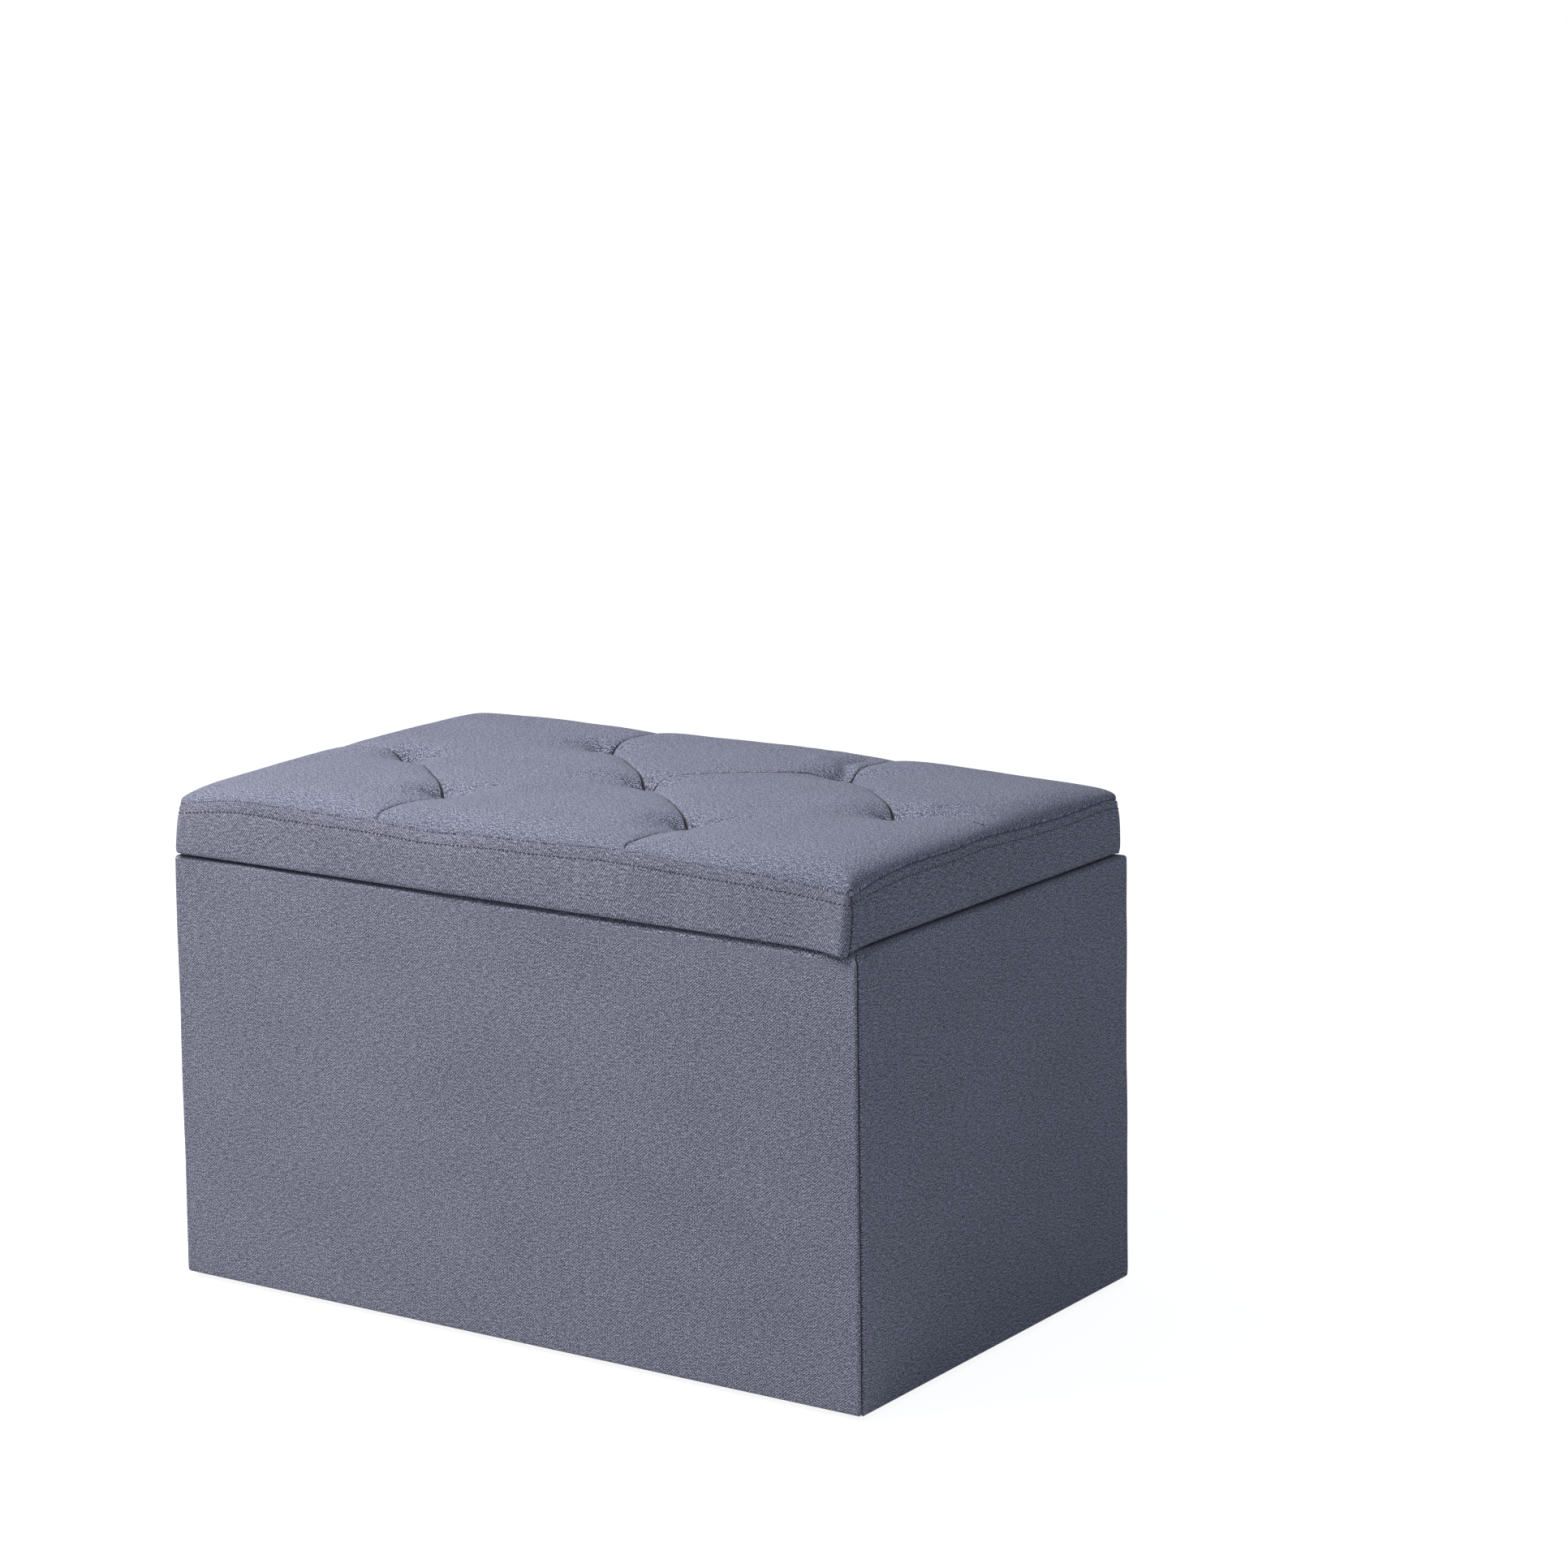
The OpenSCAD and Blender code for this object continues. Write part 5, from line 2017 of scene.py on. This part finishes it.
    def strip(self, wall: Wall) -> Piece:
        """One strip of the band.

        Args:
            wall: which wall.

        Returns:
            The piece.
        """
        wrap = Wrap(self.face, wall, self.reach, self.profile(wall))
        points, normal, cloth = wrap.surface()
        outward = outward_of(points, normal)
        u = cloth[0, :, 0]
        shift = self.uneven(points, normal, np.minimum(u, u[-1] - u)[None, :])
        moved = self.draped(wall, points, points + outward * shift[..., None])
        if wall in (Wall.FRONT, Wall.BACK):
            seen = slice(8, len(moved) - 3)
            # A near-black thread down both corner seams: painted shade of the seam.
            name = f"lid_corner_shade_thread_{wall.value}"
            corner_threads(name, moved, outward, seen, self.finishes.painted_shade_thread, Body.LID)
        tucked, laid = tuck(moved, outward, cloth)
        middle = len(moved) * 2 // 3, moved.shape[1] // 2
        facing, finish = (moved[middle], outward[middle]), self.finishes.band_twill
        piece = sheet_piece(f"lid_band_cover_{wall.value}", tucked, laid, finish, facing, self.thickness)
        if wall is Wall.BACK:
            notch(piece, *HingeRoom().cuts(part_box("cover_back")[1][2]))
        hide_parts(f"lid_band_{wall.value}")
        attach(piece, Body.LID.value)
        wrap.flat_size()
        report(piece)
        self.topstitch(wall, moved, normal)
        return piece

    def topstitch(self, wall: Wall, points: Array, normal: Array) -> Piece:
        """The row of stitches just below the seam.

        Args:
            wall: which strip.
            points: the strip's surface.
            normal: its normals.

        Returns:
            The stitches.
        """
        heights = self.profile(wall)[:, 1]
        rising = np.arange(10, 26)
        row = float(np.interp(self.high - self.stitch_drop, heights[rising], rising))
        lo, f = int(row), row - int(row)
        path = points[lo] * (1 - f) + points[lo + 1] * f
        out = outward_of(path, normal[lo])
        name = f"lid_topstitch_{wall.value}"
        piece = self.topstitches.row(name, path[1:-1], out[1:-1], self.finishes.seam_thread)
        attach(piece, Body.LID.value)
        report(piece)
        return piece

    def build(self) -> list[Piece]:
        """Makes the four strips and their stitches."""
        return [self.strip(wall) for wall in Wall]


def outward_of(path: Array, normal: Array) -> Array:
    """Normals turned away from the middle of the bench.

    Args:
        path: places.
        normal: normals, either way round.

    Returns:
        Outward normals.
    """
    sign = np.sign((path[..., :2] * normal[..., :2]).sum(-1))
    sign[sign == 0] = 1
    return normal * sign[..., None]


@dataclass
class LidFilling:
    """Foam slab and wadding under the lid's top."""

    finishes: FinishRack
    face: Rim
    crown: TuftedCrown
    foam_inset: float = 3.0 * MM
    fibre_inset: float = 4.4 * MM
    below_cloth: float = 7.0 * MM
    least_fibre: float = 1.2 * MM
    fibre_wrap: float = 6 * MM

    def block(
        self, name: str, node: str, low: float, top: Array, inset: float, finish: Material
    ) -> Piece:
        """A closed cushion with a flat bottom and rounded sides.

        Args:
            name: the piece's name.
            node: the node it stands for.
            low: height of its bottom.
            top: heights of its top on the grid.
            inset: how far its sides stand in.
            finish: its material.

        Returns:
            The piece.
        """
        x, y = self.grid(inset)
        x = x - self.crown.lean_at(x) - 2.4 * MM * self.crown.near_corner(x, y)
        rows, columns = x.shape
        edge = np.ones_like(x, bool)
        edge[1:-1, 1:-1] = False
        up = np.stack([x, y, np.where(edge, low + (top - low) * 0.82, top)], -1)
        down = np.stack([x, y, np.full_like(x, low)], -1)
        pull = np.where(edge, 1.0, 0.994)[..., None]
        down[..., :2] *= pull
        points = np.concatenate([up.reshape(-1, 3), down.reshape(-1, 3)])
        quads = strip_faces(rows, columns)
        index = np.arange(rows * columns).reshape(rows, columns)
        ring = np.concatenate([index[0], index[1:, -1], index[-1, -2::-1], index[-2:0:-1, 0]])
        after = np.roll(ring, -1)
        size = rows * columns
        wall_faces = np.stack([ring, after, after + size, ring + size], 1)
        faces = np.concatenate([quads, quads[:, ::-1] + size, wall_faces]).tolist()
        piece = face_out(mesh_piece(name, points, faces, finish, points[:, :2]))
        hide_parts(node)
        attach(piece, Body.LID.value)
        report(piece)
        return piece

    def grid(self, inset: float, step: float = 7 * MM) -> tuple[Array, Array]:
        """A grid squeezed into the lid's rounded outline.

        Args:
            inset: how far in.
            step: spacing.

        Returns:
            x and y of its points.
        """
        rim = self.face
        hx, hy = rim.half_x - inset, rim.half_y - inset
        along, back = (np.linspace(-h, h, int(2 * h / step)) for h in (hx, hy))
        x, y = np.meshgrid(along, back)
        r = max(rim.radius - inset, 2 * MM)
        qx, qy = np.maximum(np.abs(x) - hx + r, 0), np.maximum(np.abs(y) - hy + r, 0)
        outside = np.maximum(np.hypot(qx, qy), TINY)
        scale = np.where(outside > r, r / outside, 1.0)
        both = (qx > 0) & (qy > 0)
        x = np.where(both, np.sign(x) * (hx - r + qx * scale), x)
        y = np.where(both, np.sign(y) * (hy - r + qy * scale), y)
        return x, y

    def build(self) -> list[Piece]:
        """Makes foam and wadding.

        Returns:
            Both pieces.
        """
        f, crown = self.finishes, self.crown
        foam_lo, foam_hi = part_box("lid_foam")
        x, y = self.grid(self.foam_inset)
        slab = foam_hi[2] + self.lift(x, y)
        foam = self.block("lid_foam_slab", "lid_foam", foam_lo[2], slab, self.foam_inset, f.foam)
        inset = self.fibre_inset
        x, y = self.grid(inset)
        base = foam_hi[2] + 0.2 * MM
        least = base + self.lift(x, y) + self.least_fibre
        top = np.maximum(crown.height(x, y, sharp=False) - self.below_cloth, least)
        low = base - self.fibre_wrap
        fibre = self.block("lid_wadding_layer", "lid_wadding", low, top, inset, f.wadding)
        return [foam, fibre]

    def lift(self, x: Array, y: Array) -> Array:
        """How far the filling's edge follows the seam up or down."""
        return np.clip(self.crown.seam_rise(x, y), -6 * MM, 4 * MM)


@dataclass
class CreaseStitching:
    """A near-black thread in the lid's deep creases, which paints the shade at their bottoms, and the
    stitches across its seamed ones.
    """

    finishes: FinishRack
    crown: TuftedCrown
    top: LidTop
    stitches: Stitch = Stitch(4.2 * MM, 2.8 * MM, 0.45 * MM)
    least_groove: float = 3 * MM
    radius: float = 0.6 * MM
    shallow: float = 0.4 * MM
    deep: float = 1.2 * MM

    def slope(self, places: Array) -> Array:
        """Normals of the top at places in plan.

        Args:
            places: (n, 2).

        Returns:
            (n, 3) normals.
        """
        e = 1.5 * MM
        steps = ((e, 0), (-e, 0), (0, e), (0, -e))
        right, left, back, front = (self.crown.height(*(places + s).T, sharp=False) for s in steps)
        return unit(np.stack([left - right, front - back, np.full(len(places), 2 * e)], 1))

    def lines(self) -> Piece:
        """A near-black thread in every deep crease, painted shade that stands for the shadow at its bottom.

        Returns:
            The piece.
        """
        crown, paths = self.crown, []
        # The thread raised in each crease is near black: painted shade of the crease.
        for crease in (c for c in crown.creases if c.groove > self.least_groove):
            last = crease.length() - (10 if crown.ends_at_rim(crease) else 6) * MM
            places = crease.places(np.linspace(5 * MM, last, 70))
            x, y = places.T
            at_front = crease.stop[1] < 1 * MM - crown.rim.half_y
            sunk = self.shallow if crease.stitched or at_front else self.deep
            z = crown.height(x, y, sharp=False) - sunk
            path = np.stack([x - crown.lean_at(x), y, z], 1) + self.top.moved_at(places)
            paths.append((path, np.tile([0.0, 0.0, 1.0], (len(path), 1))))
        return thread_line("lid_crease_shade_thread", paths, self.radius, self.finishes.painted_shade_thread)

    def build(self) -> list[Piece]:
        """Makes the shade-painting threads and every row of stitches.

        Returns:
            The pieces.
        """
        out = [self.lines()]
        for i, crease in enumerate(c for c in self.crown.creases if c.stitched):
            places = crease.places(np.linspace(12 * MM, crease.length() - 12 * MM, 60))
            normal = self.slope(places)
            level = np.stack([*places.T, self.crown.height(*places.T)], 1) + self.top.moved_at(places)
            path = level + normal * 0.5 * MM
            name = f"lid_crease_stitches_{i + 1}"
            out.append(self.stitches.row(name, path, normal, self.finishes.seam_thread))
        for piece in out:
            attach(piece, Body.LID.value)
            report(piece)
        return out


# ---------------------------------------------------------------- the frame's own pieces


@dataclass
class FrameDressing:
    """Finishes for the nodes that keep their own shape."""

    finishes: FinishRack

    def finish_for(self, node: str) -> Material | None:
        """The finish a node wears.

        Args:
            node: its name.

        Returns:
            A material, or None for a node that is replaced.
        """
        f = self.finishes
        if node.startswith(("board_", "corner_", "cleats", "lid_board")):
            return f.timber
        if node.startswith(("glides", "tuft_washers")):
            return f.plastic
        if node.startswith("tuft_cords"):
            return f.cord
        if any(part in node for part in ("screws", "rivets", "studs", "pin")):
            return f.screw
        if node.startswith(("hinge_", "stay_")) or "staples" in node:
            return f.plate
        return None

    def dress(self, frame: dict) -> None:
        """Puts finishes on the frame's nodes.
        """
        for name, node in frame["nodes"].items():
            finish = self.finish_for(name)
            if finish is None:
                continue
            if not node.material_slots:
                node.data.materials.append(finish)
            for slot in node.material_slots:
                slot.link = "OBJECT"
                slot.material = finish
            LOG.info("%s wears %s", name, finish.name)


# ---------------------------------------------------------------- studio


@dataclass
class Studio:
    """Pale floor, soft light and the camera."""

    place: tuple[float, float, float] = (2.2523, -3.0816, 1.2272)
    turn: float = 34.213
    tilt: float = 7.899
    roll: float = -0.717
    lens: float = 96.45
    rise: float = -0.1553
    lamp_place: tuple[float, float, float] = (-0.72, -1.05, 2.09)
    lamp_power: float = 41.5
    lamp_size: float = 0.9
    lamp_colour: Colour = (1.01, 1.0, 0.99)
    sky: float = 0.28
    sky_colour: Colour = (0.88, 1.0, 1.16)
    white: tuple[float, ...] = (1, 1, 1, 1)
    floor_reach: float = 60.0
    floor_tint: tuple[float, ...] = (0.75, 0.78, 0.78, 1)
    floor_pale: tuple[float, ...] = (0.45, 0.45, 0.45, 1)
    floor_glow: float = 0.90
    aim: tuple[float, float, float] = (0, 0, 0.35)

    def floor(self) -> Piece:
        """The floor: white where it is seen, duller in the light it gives back.

        Returns:
            The floor.
        """
        far = self.floor_reach
        corners = np.array([(-far, -far, 0), (far, -far, 0), (far, far, 0), (-far, far, 0)])
        paint = bpy.data.materials.new("floor_paint")
        piece = mesh_piece("studio_floor", corners, [(0, 1, 2, 3)], paint)
        paint.use_nodes = True
        paint.node_tree.nodes.clear()
        n = Nodes(paint.node_tree)
        dull = n.add("ShaderNodeBsdfDiffuse", {0: self.floor_tint}).outputs[0]
        pale = n.add("ShaderNodeBsdfDiffuse", {0: self.floor_pale}).outputs[0]
        glow = n.add("ShaderNodeEmission", {0: self.white, 1: self.floor_glow}).outputs[0]
        bright = n.add("ShaderNodeAddShader", {0: pale, 1: glow}).outputs[0]
        mix = n.add("ShaderNodeMixShader", {0: n.seen_directly(), 1: dull, 2: bright}).outputs[0]
        n.add("ShaderNodeOutputMaterial", {0: mix})
        return piece

    def world(self) -> None:
        """An even sky that shows white."""
        world = bpy.data.worlds.new("studio_sky")
        bpy.context.scene.world = world
        world.use_nodes = True
        world.node_tree.nodes.clear()
        n = Nodes(world.node_tree)
        back = n.add("ShaderNodeBackground", {0: (*self.sky_colour, 1), 1: self.sky}).outputs[0]
        white = n.add("ShaderNodeBackground", {0: self.white, 1: 1.0}).outputs[0]
        mix = n.add("ShaderNodeMixShader", {0: n.seen_directly(), 1: back, 2: white}).outputs[0]
        n.add("ShaderNodeOutputWorld", {0: mix})

    def lamps(self) -> None:
        """One large soft key from the upper left front."""
        light = bpy.data.lights.new("key", "AREA")
        light.shape = "DISK"
        light.size = self.lamp_size
        light.energy = self.lamp_power
        light.color = self.lamp_colour
        lamp = bpy.data.objects.new("key", light)
        lamp.location = self.lamp_place
        away = Vector(self.lamp_place) - Vector(self.aim)
        lamp.rotation_euler = away.to_track_quat("Z", "Y").to_euler()
        bpy.context.scene.collection.objects.link(lamp)

    def camera(self) -> None:
        """Sets the camera and the plain view transform."""
        a, e, r = (math.radians(v) for v in (self.turn, self.tilt, self.roll))
        ahead = Vector((-math.sin(a) * math.cos(e), math.cos(a) * math.cos(e), -math.sin(e)))
        right = Vector((math.cos(a), math.sin(a), 0))
        up = right.cross(ahead)
        side = right * math.cos(r) + up * math.sin(r)
        top = up * math.cos(r) - right * math.sin(r)
        data = bpy.data.cameras.new("camera")
        data.lens = self.lens
        data.sensor_width = 36.0
        data.shift_y = self.rise
        data.clip_end = 200.0
        camera = bpy.data.objects.new("camera", data)
        turned = Matrix((side, top, -ahead)).transposed().to_4x4()
        camera.matrix_world = Matrix.Translation(self.place) @ turned
        bpy.context.scene.collection.objects.link(camera)
        bpy.context.scene.camera = camera
        bpy.context.scene.view_settings.view_transform = "Standard"

    def build(self) -> None:
        """Sets up everything."""
        self.camera()
        self.world()
        self.lamps()
        self.floor()


def main() -> None:
    """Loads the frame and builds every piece."""
    logging.basicConfig(level=logging.INFO, format="%(message)s")
    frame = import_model()
    Studio().build()
    finishes = FinishRack()
    box = BoxUpholstery(finishes)
    box.build()
    BoxPadding(finishes, box.rim, box.low, box.high).build()
    Linings(finishes).build()
    band_low, band_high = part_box("lid_band_front")
    face = Rim(band_high[0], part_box("lid_band_back")[1][1], 5 * MM)
    proud, washer = 1.6 * MM, 10 * MM
    rim = Rim(face.half_x + proud, face.half_y + proud, face.radius + proud)
    pitch, row = (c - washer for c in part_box("tuft_washers")[1][:2])
    crown = TuftedCrown(rim, band_high[2], pitch, row)
    top = LidTop(finishes, crown)
    top.build()
    LidBand(finishes, face, crown, band_low[2], band_high[2]).build()
    LidFilling(finishes, face, crown).build()
    CreaseStitching(finishes, crown, top).build()
    FrameDressing(finishes).dress(frame)


if __name__ == "__main__":
    main()
